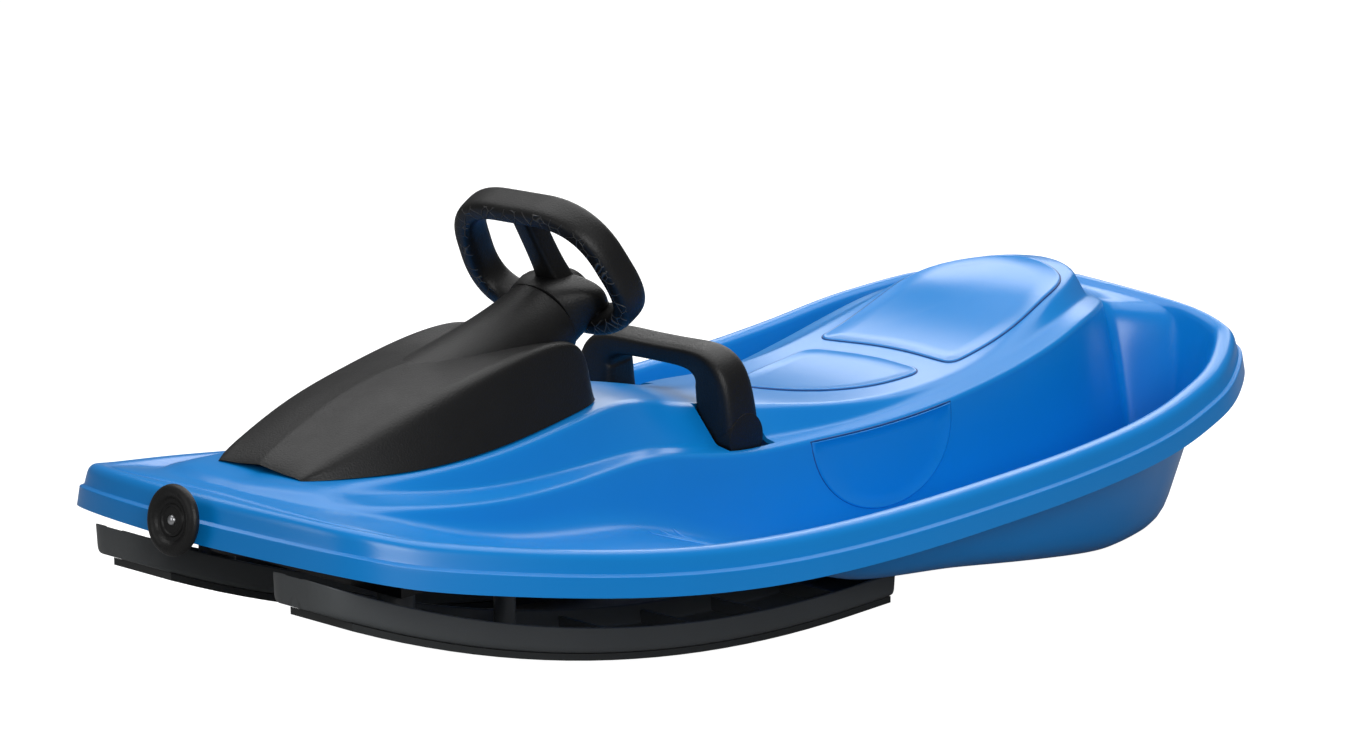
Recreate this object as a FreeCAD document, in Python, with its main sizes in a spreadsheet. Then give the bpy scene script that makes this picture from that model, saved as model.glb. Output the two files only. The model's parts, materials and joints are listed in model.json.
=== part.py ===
import FreeCAD, Part
import Sketcher
import math
import os
import re

os.makedirs("parts", exist_ok=True)
V = FreeCAD.Vector
doc = FreeCAD.newDocument("SteeringSled")

# Driving sizes in millimetres and degrees, origin on the snow below the middle of the sled, +X to the nose
SIZES = {
    "half_length": 577, "half_beam": 261, "wall": 4,
    "skirt_drop": 35, "skirt_flare": 18, "rim_width": 12,
    "rake": 30, "hub_x": 150, "hub_z": 300,
    "wheel_depth": 30, "wheel_half_low": 92, "wheel_half_top": 78, "wheel_up": 107, "wheel_down": 30,
    "wheel_corner": 34, "wheel_band": 20, "wheel_round": 7, "spoke_half": 11,
    "hub_radius": 24, "hub_reach": 30,
    "shaft_radius": 8, "shaft_length": 231, "crank": 40, "crank_pin": 5, "crank_plate": 8,
    "running": 0.05, "press_gap": 0.02, "seat_gap": 0.3,
    "hood_end": 30, "hood_radius": 36, "hood_root": 42, "cowl_wall": 3,
    "ski_gauge": 105, "ski_width": 80, "ski_wall": 4, "ski_floor": 5, "ski_tail": -127, "ski_tip": 556,
    "ski_bend": -60, "ski_rocker": 1500, "ski_height": 22,
    "sole_thick": 6, "sole_width": 70, "sole_front": 529, "sole_rear": -118, "rib_thick": 3,
    "kingpin_x": 450, "kingpin_radius": 5, "arm_length": 120, "stud_radius": 5,
    "bar_low": 126, "bar_thick": 8, "bar_half": 126, "bar_depth": 28, "bar_slot": 5.5,
    "beam_low": 131, "beam_high": 152, "beam_half": 130, "beam_length": 36,
    "rail_in": 42, "rail_out": 52, "rail_low": 166, "rail_high": 186, "bearing_x": 312, "bush_radius": 12,
    "bush_length": 22, "post_radius": 9, "screw_radius": 2.5, "screw_head": 5,
    "axle_x": 20, "axle_z": 168, "axle_radius": 5, "leg_out": 92, "leg_in": 50, "arch_up": 77, "arch_in": 57,
    "leg_depth": 44, "arch_depth": 32, "barrel": 22, "claw_width": 24, "claw_hub": 12,
    "cheek_in": 34, "cheek_out": 42,
    "cord_z": 193, "disc_radius": 28.5, "disc_thick": 13,
    "stem_radius": 6, "stem_length": 36, "cord_tilt": 10,
    "nose_gap": 0.5, "reel_back": 79, "reel_radius": 40, "reel_low": 158, "reel_high": 192,
    "drum_radius": 30, "reel_pin": 4,
}

sheet = doc.addObject("Spreadsheet::Sheet", "Sizes")
for row, (alias, amount) in enumerate(SIZES.items(), start=1):
    sheet.set(f"A{row}", alias)
    sheet.set(f"B{row}", str(amount))
    sheet.setAlias(f"B{row}", alias)
doc.recompute()

NAMES = re.compile(r"\b(" + "|".join(sorted(SIZES, key=len, reverse=True)) + r")\b")
NODES = []


def size(alias):
    """Read one driving size."""
    return float(sheet.get(alias))


def tie(text):
    """Turn a formula in size names into one that points at the sheet."""
    return NAMES.sub(r"Sizes.\1", str(text))


def amount_of(text):
    """Work out a formula in size names."""
    found = sheet.evalExpression(NAMES.sub(r"\1", str(text)))
    return float(getattr(found, "Value", found))


def bind(thing, **formulas):
    """Tie properties of an object to the sheet."""
    for name, text in formulas.items():
        thing.setExpression(name.replace("__", "."), tie(text))


def place(thing, x="0", y="0", z="0", turn=None):
    """Tie an object's place to the sheet and set its turn."""
    if turn is not None:
        thing.Placement = FreeCAD.Placement(V(0, 0, 0), turn)
    bind(thing, Placement__Base__x=x, Placement__Base__y=y, Placement__Base__z=z)


def keep(thing, node):
    """Name an object as one piece of the sled."""
    thing.Label = node
    NODES.append(thing)
    return thing


# Plain solids
ALONG = {
    "X": FreeCAD.Rotation(V(0, 1, 0), 90),
    "Y": FreeCAD.Rotation(V(1, 0, 0), -90),
    "Z": FreeCAD.Rotation(),
}


def box(name, x0, x1, y0, y1, z0, z1):
    """A block between formulas."""
    made = doc.addObject("Part::Box", name)
    bind(made, Length=f"({x1}) - ({x0})", Width=f"({y1}) - ({y0})", Height=f"({z1}) - ({z0})")
    place(made, x0, y0, z0)
    return made


def rod(name, radius, length, x, y, z, along="Z"):
    """A round bar that starts at a point."""
    made = doc.addObject("Part::Cylinder", name)
    bind(made, Radius=radius, Height=length)
    place(made, x, y, z, ALONG[along] if isinstance(along, str) else along)
    return made


def fuse(name, parts):
    """Join solids into one piece or group."""
    made = doc.addObject("Part::MultiFuse", name)
    made.Shapes = parts
    return made


def cut(name, base, tools):
    """Take solids away from a piece."""
    made = doc.addObject("Part::Cut", name)
    made.Base = base
    made.Tool = tools[0] if len(tools) == 1 else fuse(name + "_tools", tools)
    return made


# Sketched solids
def new_body(name):
    """An empty body."""
    return doc.addObject("PartDesign::Body", name)


def sketch_on(body, name, plane, lift="0"):
    """A sketch on one of the body's own planes, raised by a formula."""
    made = body.newObject("Sketcher::SketchObject", name)
    origin = [item for item in body.Origin.OriginFeatures if item.Role == plane][0]
    made.AttachmentSupport = [(origin, "")]
    made.MapMode = "FlatFace"
    made.setExpression("AttachmentOffset.Base.z", tie(lift))
    return made


def fix_point(sketch, geometry, point, across, up):
    """Tie one point of a sketch to formulas."""
    for kind, text in (("DistanceX", across), ("DistanceY", up)):
        if text is None:
            continue
        value = amount_of(text)
        index = sketch.addConstraint(Sketcher.Constraint(kind, -1, 1, geometry, point, value))
        sketch.setExpression(f"Constraints[{index}]", tie(text))


def outline(sketch, corners):
    """A closed outline of straight lines through formula corners."""
    spots = [V(amount_of(a), amount_of(b), 0) for a, b in corners]
    first = sketch.GeometryCount
    count = len(spots)
    for i in range(count):
        sketch.addGeometry(Part.LineSegment(spots[i], spots[(i + 1) % count]), False)
    for i in range(count):
        sketch.addConstraint(Sketcher.Constraint("Coincident", first + i, 2, first + (i + 1) % count, 1))
    for i, (across, up) in enumerate(corners):
        fix_point(sketch, first + i, 1, across, up)
    return sketch


def ring(sketch, across, up, radius):
    """A circle at formula coordinates."""
    centre = V(amount_of(across), amount_of(up), 0)
    index = sketch.addGeometry(Part.Circle(centre, V(0, 0, 1), amount_of(radius)), False)
    fix_point(sketch, index, 3, across, up)
    held = sketch.addConstraint(Sketcher.Constraint("Radius", index, amount_of(radius)))
    sketch.setExpression(f"Constraints[{held}]", tie(radius))
    return sketch


def feature(body, kind, name, profile, length=None, middle=False, through=False, back=False):
    """Add a pad or a pocket to a body."""
    made = body.newObject(f"PartDesign::{kind}", name)
    made.Profile = profile
    made.Midplane = middle
    made.Reversed = back
    if through:
        made.Type = "ThroughAll"
    if length is not None:
        bind(made, Length=length)
    body.Tip = made
    doc.recompute()
    return made


def spin(body, kind, name, profile, axis):
    """Turn a profile about one of the sketch axes."""
    made = body.newObject(f"PartDesign::{kind}", name)
    made.Profile = profile
    made.ReferenceAxis = (profile, [axis])
    made.Angle = 360
    body.Tip = made
    doc.recompute()
    return made


def round_edges(body, name, radius, wanted):
    """Round the edges of the tip feature that pass a test."""
    tip = body.Tip
    picked = [f"Edge{i}" for i, edge in enumerate(tip.Shape.Edges, start=1) if wanted(edge)]
    made = body.newObject("PartDesign::Fillet", name)
    made.Base = (tip, picked)
    bind(made, Radius=radius)
    body.Tip = made
    doc.recompute()
    return made


def runs_along(edge, axis, length=1.0):
    """Whether an edge is a straight line along an axis, at least so long."""
    if edge.Curve.TypeId != "Part::GeomLine" or edge.Length < length:
        return False
    return abs(edge.tangentAt(edge.FirstParameter).dot(axis)) > 0.999


# Deck shell: lofted from a table of offsets, one row per station from the nose to the tail
# x, y and height of the rim, height of the well floor, distance from the middle line of the well's inner foot,
# of the ledge and its height, of the pad's foot and top edge, height of that edge and of the middle line
OFFSETS = [
    (560, 0, 212, 210, 70, 66, 210, 60, 52, 215, 215),
    (555, 80, 210, 208, 90, 84, 210, 76, 66, 216, 216),
    (539, 148, 205, 201, 118, 108, 208, 96, 82, 215, 216),
    (489, 187, 190, 184, 128, 116, 203, 102, 86, 213, 214),
    (391, 226, 171, 163, 134, 124, 191, 115, 98, 209, 211),
    (300, 242, 155, 146, 128, 118, 183, 108, 92, 212, 214),
    (222, 250, 145, 136, 123, 111, 182, 101, 86, 221, 224),
    (150, 255, 139, 115, 121, 105, 181, 93, 74, 225, 229),
    (80, 258, 136, 88, 121, 100, 166, 80, 52, 205, 213),
    (22, 260, 135, 66, 122, 98, 156, 76, 48, 190, 198),
    (-40, 261, 135, 57, 126, 104, 156, 88, 74, 184, 189),
    (-110, 261, 135.5, 49, 131, 112, 155, 97, 88, 174, 176),
    (-200, 261, 137, 33, 137, 122, 160, 105, 96, 170, 170),
    (-300, 258, 141, 16, 142, 128, 175, 109, 98, 181, 181),
    (-375, 253, 148, 5, 141, 128, 190, 107, 94, 201, 201),
    (-430, 244, 157, 4.5, 137, 122, 199, 101, 87, 217, 218),
    (-480, 236, 167, 4.5, 132, 112, 203, 93, 79, 224, 226),
    (-546, 200, 182, 14, 124, 92, 202, 76, 62, 229, 232),
    (-571, 130, 195, 190, 96, 70, 202, 58, 45, 231, 234),
    (-577, 0, 205, 200, 62, 54, 204, 46, 34, 232, 235),
]
LENGTHWISE = size("half_length") / 577
CROSSWISE = size("half_beam") / 261
SCALES = (LENGTHWISE, CROSSWISE, 1, 1, CROSSWISE, CROSSWISE, 1, CROSSWISE, CROSSWISE, 1, 1)


def slopes(values):
    """Slopes of a curve through evenly spaced values that never overshoots them."""
    steps = [b - a for a, b in zip(values, values[1:])]
    found = [0.0]
    for a, b in zip(steps, steps[1:]):
        found.append(2 * a * b / (a + b) if a * b > 0 else 0.0)
    found.append(0.0)
    return found


COLUMNS = [[row[i] * SCALES[i] for row in OFFSETS] for i in range(len(SCALES))]
COLUMN_SLOPES = [slopes(column) for column in COLUMNS]


def offsets_at(station):
    """Values of every column at a station between two rows."""
    i = min(int(station), len(OFFSETS) - 2)
    f = station - i
    out = []
    for values, grads in zip(COLUMNS, COLUMN_SLOPES):
        keep_a = (1 + 2 * f) * (1 - f) ** 2
        keep_b = f * f * (3 - 2 * f)
        out.append(keep_a * values[i] + keep_b * values[i + 1]
                   + f * (1 - f) ** 2 * grads[i] - f * f * (1 - f) * grads[i + 1])
    return out


def section(station):
    """Corners of the half section from the rim to the middle line, as distance inwards and height."""
    x, y, rim, floor, foot, ledge, ledge_z, pad_foot, pad, pad_z, middle_z = offsets_at(station)
    bend = 350 * LENGTHWISE
    inner = x
    if x > bend:
        inner = bend + 0.55 * (x - bend)
    if x < -bend:
        inner = -bend + 0.6 * (x + bend)
    reach = math.hypot(x - inner, y)
    flare = size("skirt_flare")
    drop = size("skirt_drop")
    lip = size("rim_width")
    corners = [
        (-flare, rim - drop), (-flare + 3, rim - 0.54 * drop), (-flare + 7, rim - 0.49 * drop), (-7, rim - 4),
        (-2, rim), (lip - 6, rim), (lip, rim - 3), (lip + 3 + 0.28 * (rim - floor), floor),
        (reach - foot, floor), (reach - ledge, ledge_z), (reach - pad_foot, ledge_z + 4),
        (reach - pad, pad_z), (reach, middle_z),
    ]
    return V(x, y, 0), V(inner, 0, 0), corners


EASED = {7: 15, 8: 13, 9: 6, 11: 6}


def eased(corners):
    """Corners of a section with the large ones eased by a short flat."""
    spots = [V(a, b, 0) for a, b in corners]
    out = []
    for i, spot in enumerate(spots):
        if i not in EASED:
            out.append(spot)
            continue
        for other in (spots[i - 1] - spot, spots[i + 1] - spot):
            out.append(spot + other * (min(EASED[i], 0.4 * other.Length) / other.Length))
    return out


def shell_stations():
    """Stations of the loft, closer together round the nose and the tail."""
    out = []
    for i in range(len(OFFSETS) - 1):
        parts = 2 if i < 3 else 1
        if i >= len(OFFSETS) - 3:
            parts = 4
        out += [i + k / parts for k in range(parts)]
    return out + [len(OFFSETS) - 1]


def shell_points():
    """Grid of points on the upper skin of the near half."""
    grid = []
    for station in shell_stations():
        rim, middle, corners = section(station)
        inward = (middle - rim).normalize()
        grid.append([rim + inward * p.x + V(0, 0, p.y) for p in eased(corners)])
    for row in (grid[0], grid[-1]):
        for p in row:
            p.y = 0
    for row in grid:
        row[-1].y = 0
    return grid


def under_points(grid, thick):
    """The same grid moved inwards by the wall."""
    out = []
    last_i = len(grid) - 1
    last_j = len(grid[0]) - 1
    for i, row in enumerate(grid):
        moved = []
        for j, p in enumerate(row):
            along = grid[min(i + 1, last_i)][j] - grid[max(i - 1, 0)][j]
            across = row[min(j + 1, last_j)] - row[max(j - 1, 0)]
            if i in (0, last_i):
                along = V(0, 1 if i == 0 else -1, 0)
            if j == last_j and i not in (0, last_i):
                across = V(0, -1, 0)
            away = along.cross(across)
            if i in (0, last_i) or j == last_j:
                away.y = 0
            moved.append(p - away.normalize() * thick)
        out.append(moved)
    return out


def strake(first, second):
    """Face between two neighbouring lines that run from the nose to the tail."""
    count = len(first)
    knots = [float(k) for k in range(count - 2)]
    repeats = [4] + [1] * (count - 4) + [4]
    surface = Part.BSplineSurface()
    net = [[a, b] for a, b in zip(first, second)]
    surface.buildFromPolesMultsKnots(net, repeats, [2, 2], knots, [0.0, 1.0], False, False, 3, 1)
    return surface.toShape()


def shell_solid():
    """Solid between the two skins, mirrored about the middle plane."""
    upper = shell_points()
    lower = under_points(upper, size("wall"))
    faces = []
    for grid in (upper, lower):
        lines = list(zip(*grid))
        faces += [strake(a, b) for a, b in zip(lines, lines[1:])]
    faces.append(strake([row[0] for row in upper], [row[0] for row in lower]))
    faces += [face.mirror(V(0, 0, 0), V(0, 1, 0)) for face in faces]
    closed = Part.makeShell(faces)
    closed.sewShape()
    solid = Part.makeSolid(closed)
    if solid.Volume < 0:
        solid.reverse()
    return solid


skin = doc.addObject("Part::Feature", "deck_skin")
skin.Shape = shell_solid()


LEVELS = {}


def deck_levels(x, y):
    """Heights of the underside and the top of the topmost wall at a place."""
    spot = (round(x, 3), round(abs(y), 3))
    if spot not in LEVELS:
        probe = Part.makeLine(V(spot[0], spot[1], 0), V(spot[0], spot[1], 400))
        hits = skin.Shape.common(probe).Edges
        top = max(hits, key=lambda edge: edge.BoundBox.ZMax)
        LEVELS[spot] = (top.BoundBox.ZMin, top.BoundBox.ZMax)
    return LEVELS[spot]


COLUMN = FreeCAD.Rotation(
    V(0, 1, 0), V(math.sin(math.radians(size("rake"))), 0, math.cos(math.radians(size("rake")))),
    V(math.cos(math.radians(size("rake"))), 0, -math.sin(math.radians(size("rake")))), "ZXY")
CROSS_SECTION = FreeCAD.Rotation(V(0, 1, 0), V(0, 0, 1), V(1, 0, 0), "ZXY")
STUD_X = "(kingpin_x - arm_length)"
PULL_X = "(half_length - nose_gap)"
REEL_X = "(half_length - reel_back)"


def on_column(thing, across="0", up="0", along="0"):
    """Put an object at the wheel hub with its Z down the steering column, moved along its own axes."""
    place(thing, f"hub_x + ({up})*sin(rake) + ({along})*cos(rake)", across,
          f"hub_z + ({up})*cos(rake) - ({along})*sin(rake)", COLUMN)


def around(x, y, reach):
    """Lowest underside and highest top of the deck round a place."""
    spots = [(x, y)] + [(x + a * reach, y + b * reach) for a, b in ((1, 0), (-1, 0), (0, 1), (0, -1))]
    levels = [deck_levels(*spot) for spot in spots]
    return min(low for low, high in levels), max(high for low, high in levels)


# Places of the upright screws that hold the steering carrier and the cowl
CARRIER_SPOTS = [(306, 47), (440, 56)]
COWL_SPOTS = [(398, 66), (222, 54)]

# Deck shell with bearing cheeks for the brake and its openings
cheeks = []
for side, name in ((1, "left"), (-1, "right")):
    low, high = ("cheek_in", "cheek_out") if side > 0 else ("-cheek_out", "-cheek_in")
    crown = deck_levels(size("axle_x") - 12, 38)[1] - 1.2
    cheeks.append(box(f"cheek_{name}", "axle_x - 15", "axle_x + 13", low, high,
                      "axle_z - 15", f"{crown:.3f}"))
openings = [box("column_window", "bearing_x - 43", "bearing_x + 62", "-33", "33", "150", "260")]
for side, low, high in (("left", "leg_in - 2", "leg_out + 2"), ("right", "-leg_out - 2", "-leg_in + 2")):
    openings.append(box(f"brake_slot_{side}", "axle_x - barrel - 13", "axle_x + barrel + 2", low, high,
                        "120", "215"))
openings.append(rod("axle_bore", "axle_radius + running", "120", "axle_x", "-60", "axle_z", "Y"))
CORD = FreeCAD.Rotation(V(0, 1, 0), 90 - size("cord_tilt"))
openings.append(rod("cord_bore", "11.1", "60", f"{PULL_X} - 40", "0", "cord_z - 7", CORD))
for x, y in CARRIER_SPOTS + COWL_SPOTS:
    for side in (1, -1):
        openings.append(rod(f"screw_bore_{x}_{side}", "screw_radius + 0.2", "120",
                            str(x), str(side * y), "160"))
deck_shell = keep(cut("deck", fuse("deck_with_cheeks", [skin] + cheeks), openings), "deck_shell")

# Steering carrier under the plinth, with rails, bearing block and posts
carrier_parts = [
    box("beam", "kingpin_x - beam_length/2", "kingpin_x + beam_length/2", "-beam_half", "beam_half",
        "beam_low", "beam_high"),
    box("bridge", "bearing_x - 14", "bearing_x + 14", "-rail_out", "rail_out", "rail_low", "rail_high"),
    box("block", "bearing_x - 14", "bearing_x + 14", "-28", "28", "rail_low", "rail_high + 36"),
]
carrier_cuts = []
for side in (1, -1):
    low, high = ("rail_in", "rail_out") if side > 0 else ("-rail_out", "-rail_in")
    tag = "left" if side > 0 else "right"
    carrier_parts.append(box(f"rail_{tag}", "bearing_x - 14", "kingpin_x + beam_length/2", low, high,
                             "beam_high - 3", "rail_high"))
    carrier_cuts.append(rod(f"kingpin_bore_{tag}", "kingpin_radius + 0.2", "60", "kingpin_x",
                            f"{side}*ski_gauge", "110"))
    near, far = ("12", "38") if side > 0 else ("-38", "-12")
    carrier_cuts.append(box(f"beam_pocket_{tag}", "kingpin_x - beam_length/2 + 4",
                            "kingpin_x + beam_length/2 - 4", near, far, "beam_low + 4", "beam_high + 1"))
    for x, y in CARRIER_SPOTS:
        crown = around(x, y, size("post_radius"))[0] - size("seat_gap")
        low_end = "rail_high - 6" if x < 400 else "beam_high - 6"
        carrier_parts.append(rod(f"post_{x}_{tag}", "post_radius", f"{crown:.3f} - ({low_end})",
                                 str(x), str(side * y), low_end))
        carrier_cuts.append(rod(f"post_bore_{x}_{tag}", "screw_radius + press_gap", "22", str(x), str(side * y),
                                f"{crown:.3f} - 21"))
column_bore = rod("column_bore", "bush_radius + press_gap", "90", "0", "0", "0")
on_column(column_bore, along="160")
crank_room = box("crank_room", "0", "76", "0", "crank + 32", "0", "24")
on_column(crank_room, "-38", "-crank - 14", "shaft_length - 2*crank_plate - 1.5")
carrier_cuts += [column_bore, crank_room]
carrier = keep(cut("carrier", fuse("carrier_whole", carrier_parts), carrier_cuts), "steering_carrier")


def upright_screws(name, spots, from_above):
    """A group of screws through the deck."""
    made = []
    for x, y in spots:
        for side in (1, -1):
            under, over = around(x, y, size("screw_head"))
            tag = f"{name}_{x}_{'l' if side > 0 else 'r'}"
            if from_above:
                made.append(rod(tag, "screw_radius", "20", str(x), str(side * y), f"{over + 0.3:.3f} - 20"))
                made.append(rod(tag + "_head", "screw_head", "3", str(x), str(side * y), f"{over + 0.3:.3f}"))
            else:
                made.append(rod(tag, "screw_radius", "18", str(x), str(side * y), f"{under - 0.3:.3f}"))
                made.append(rod(tag + "_head", "screw_head", "3",
                                str(x), str(side * y), f"{under - 3.3:.3f}"))
    return keep(fuse(name, made), name)


upright_screws("carrier_screws", CARRIER_SPOTS, True)

# Cowl with the column hood: half width and height of the foot, the crease and the ridge at each station
COWL = [
    (495, 50, 47, 3.5, 20, 5.5), (450, 71, 56, 18, 26, 23), (400, 84, 59, 37, 26, 46),
    (340, 84, 60, 51, 28, 64), (280, 81, 61, 61, 30, 71), (225, 75, 60, 57, 30, 63),
    (190, 68, 56, 38, 30, 42), (172, 62, 52, 14, 28, 16),
]


def cowl_section(tag, row, inset):
    """One cross section of the cowl, drawn in by the inset."""
    x, foot_y, crease_y, crease_up, ridge_y, ridge_up = row
    foot = deck_levels(x, foot_y)[1] + 0.7
    low = foot - (2 * inset if inset else 0)
    made = doc.addObject("Sketcher::SketchObject", f"cowl_{tag}_{x}")
    place(made, str(x), "0", "0", CROSS_SECTION)
    pull = "cowl_wall" if inset else "0"
    right = [(f"{foot_y} - {pull}", f"{low:.3f}"), (f"{crease_y} - {pull}", f"{foot + crease_up:.3f} - {pull}"),
             (f"{ridge_y} - {pull}/2", f"{foot + ridge_up:.3f} - {pull}")]
    left = [(f"-({y})", z) for y, z in reversed(right)]
    keel = deck_levels(x, 20)[1] + 1.4
    return outline(made, right + left + [("0", f"{keel if not inset else low:.3f}")])


def cowl_loft(tag, inset):
    """Loft of the cowl body."""
    made = doc.addObject("Part::Loft", f"cowl_{tag}")
    rows = COWL if not inset else COWL[1:]
    made.Sections = [cowl_section(tag, row, inset) for row in rows]
    made.Solid = True
    made.Ruled = True
    return made


def hood_loft(tag, inset):
    """Loft of the hood from the cowl up to the wheel hub."""
    root = doc.addObject("Part::Circle", f"hood_{tag}_root")
    bind(root, Radius=f"hood_root - {inset}*cowl_wall")
    place(root, "352", "0", "243", CROSS_SECTION)
    end = doc.addObject("Part::Circle", f"hood_{tag}_end")
    bind(end, Radius=f"hood_radius - {inset}*cowl_wall")
    reach = "hood_end" if not inset else "(hood_end + cowl_wall + 1)"
    place(end, f"hub_x + {reach}*cos(rake)", "0", f"hub_z - {reach}*sin(rake)", COLUMN)
    made = doc.addObject("Part::Loft", f"hood_{tag}")
    made.Sections = [root, end]
    made.Solid = True
    made.Ruled = False
    return made


doc.recompute()
cowl_skin = fuse("cowl_outer", [cowl_loft("out", 0), hood_loft("out", 0)])
cowl_void = fuse("cowl_inner", [cowl_loft("in", 1), hood_loft("in", 1)])
bosses = []
for x, y in COWL_SPOTS:
    for side in (1, -1):
        foot = deck_levels(x, y)[1] + 0.3
        bosses.append(rod(f"cowl_boss_{x}_{side}", "6", "60", str(x), str(side * y), f"{foot:.3f}"))
trimmed = doc.addObject("Part::MultiCommon", "cowl_bosses")
trimmed.Shapes = [fuse("cowl_posts", bosses), cowl_skin]
cowl_cuts = [rod(f"cowl_bore_{x}_{side}", "screw_radius + press_gap", "18", str(x), str(side * y),
                 f"{deck_levels(x, y)[1] - 1:.3f}") for x, y in COWL_SPOTS for side in (1, -1)]
hood_bore = rod("hood_bore", "bush_radius + press_gap", "40", "0", "0", "0")
on_column(hood_bore, along="hood_end - 10")
foot_under_hood = deck_levels(318, 60)[1] + 1
cowl_cuts += [hood_bore, box("hood_foot", "250", "400", "-62", "62", "120", f"{foot_under_hood:.3f}")]
cowl_whole = fuse("cowl_whole", [cut("cowl_hollow", cowl_skin, [cowl_void]), trimmed])
keep(cut("cowl", cowl_whole, cowl_cuts), "cowl")
upright_screws("cowl_screws", COWL_SPOTS, False)

# Steering wheel with two grips, a spoke and a hub
wheel = new_body("Wheel")
rim_sketch = outline(sketch_on(wheel, "wheel_outline", "XY_Plane"), [
    ("-wheel_half_low", "-wheel_down"), ("wheel_half_low", "-wheel_down"),
    ("wheel_half_top", "wheel_up"), ("-wheel_half_top", "wheel_up")])
feature(wheel, "Pad", "wheel_plate", rim_sketch, "wheel_depth", middle=True)
round_edges(wheel, "wheel_corners", "wheel_corner", lambda edge: runs_along(edge, V(0, 0, 1), 20))
for side in (1, -1):
    gap = outline(sketch_on(wheel, f"grip_gap_{side}", "XY_Plane"), [
        (f"{side}*(spoke_half + 8)", "26"), (f"{side}*(wheel_half_low - wheel_band - 6)", "-4"),
        (f"{side}*(wheel_half_top - wheel_band + 2)", "wheel_up - wheel_band"),
        (f"{side}*spoke_half", "wheel_up - wheel_band")])
    feature(wheel, "Pocket", f"grip_opening_{side}", gap, middle=True, length="wheel_depth + 4")
round_edges(wheel, "grip_corners", "9", lambda edge: runs_along(edge, V(0, 0, 1), 20)
            and abs(edge.CenterOfMass.x) < amount_of("wheel_half_low - wheel_band + 2")
            and -10 < edge.CenterOfMass.y < amount_of("wheel_up - 8"))
round_edges(wheel, "wheel_soft_edges", "wheel_round", lambda edge: edge.BoundBox.ZLength < 0.01)
hub = ring(sketch_on(wheel, "hub_circle", "XY_Plane"), "0", "0", "hub_radius")
feature(wheel, "Pad", "hub_boss", hub, "hub_reach - 2")
bore = ring(sketch_on(wheel, "hub_bore", "XY_Plane"), "0", "0", "shaft_radius + press_gap")
feature(wheel, "Pocket", "hub_hole", bore, middle=True, through=True)
on_column(wheel)
keep(wheel, "steering_wheel")

# Steering shaft with crank and pin
shaft = new_body("Shaft")
bar_ring = ring(sketch_on(shaft, "shaft_circle", "XY_Plane", "-14"), "0", "0", "shaft_radius")
feature(shaft, "Pad", "shaft_bar", bar_ring, "shaft_length - crank_plate + 14")
arm = outline(sketch_on(shaft, "crank_outline", "XY_Plane", "shaft_length - 2*crank_plate"), [
    ("-13", "13"), ("-9", "-crank - 9"), ("9", "-crank - 9"), ("13", "13")])
feature(shaft, "Pad", "crank_arm", arm, "crank_plate")
pin = ring(sketch_on(shaft, "pin_circle", "XY_Plane", "shaft_length - 2*crank_plate"),
           "0", "-crank", "crank_pin")
feature(shaft, "Pad", "crank_stud", pin, "crank_plate + 26")
on_column(shaft)
keep(shaft, "steering_shaft")


def bush(node, start, length, outer):
    """A plain bearing on the steering column."""
    body = new_body(node + "_body")
    drawn = ring(sketch_on(body, node + "_rings", "XY_Plane", start), "0", "0", outer)
    ring(drawn, "0", "0", "shaft_radius + running")
    feature(body, "Pad", node + "_sleeve", drawn, length)
    on_column(body)
    return keep(body, node)


bush("upper_bush", "hood_end + 0.3", "8", "bush_radius")
bush("lower_bush", "(bearing_x - hub_x)/cos(rake) - bush_length/2", "bush_length", "bush_radius")
cap = new_body("Cap")
cap_ring = ring(sketch_on(cap, "cap_circle", "XY_Plane", "-wheel_depth/2 - 4"), "0", "0", "16")
feature(cap, "Pad", "cap_disc", cap_ring, "3.8")
on_column(cap)
keep(cap, "wheel_cap")

# Tie bar with a fork for the crank pin and slots for the ski studs
bar = new_body("Bar")
strip = outline(sketch_on(bar, "bar_outline", "XY_Plane", "bar_low"), [
    (f"{STUD_X} - bar_depth/2", "-bar_half"), (f"{STUD_X} + bar_depth/2", "-bar_half"),
    (f"{STUD_X} + bar_depth/2", "bar_half"), (f"{STUD_X} - bar_depth/2", "bar_half")])
feature(bar, "Pad", "bar_strip", strip, "bar_thick")
for side in (1, -1):
    slot = outline(sketch_on(bar, f"stud_slot_{side}", "XY_Plane", "bar_low"), [
        (f"{STUD_X} - 7.5", f"{side}*(ski_gauge - bar_slot)"),
        (f"{STUD_X} + 7.5", f"{side}*(ski_gauge - bar_slot)"),
        (f"{STUD_X} + 7.5", f"{side}*(ski_gauge + bar_slot)"),
        (f"{STUD_X} - 7.5", f"{side}*(ski_gauge + bar_slot)")])
    feature(bar, "Pocket", f"stud_opening_{side}", slot, middle=True, length="40")
    prong = outline(sketch_on(bar, f"prong_{side}", "XY_Plane", "bar_low + bar_thick"), [
        (f"{STUD_X} + 3.5", f"{side}*bar_slot"), (f"{STUD_X} + 11.5", f"{side}*bar_slot"),
        (f"{STUD_X} + 11.5", f"{side}*(bar_slot + 9)"), (f"{STUD_X} + 3.5", f"{side}*(bar_slot + 9)")])
    feature(bar, "Pad", f"fork_prong_{side}", prong, "29")
keep(bar, "tie_bar")


def rocker(x, inset):
    """Height of a line that runs parallel to the running surface."""
    return f"(ski_rocker - sqrt((ski_rocker - ({inset}))^2 - max(0; ({x}) - ski_bend)^2))"


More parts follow.
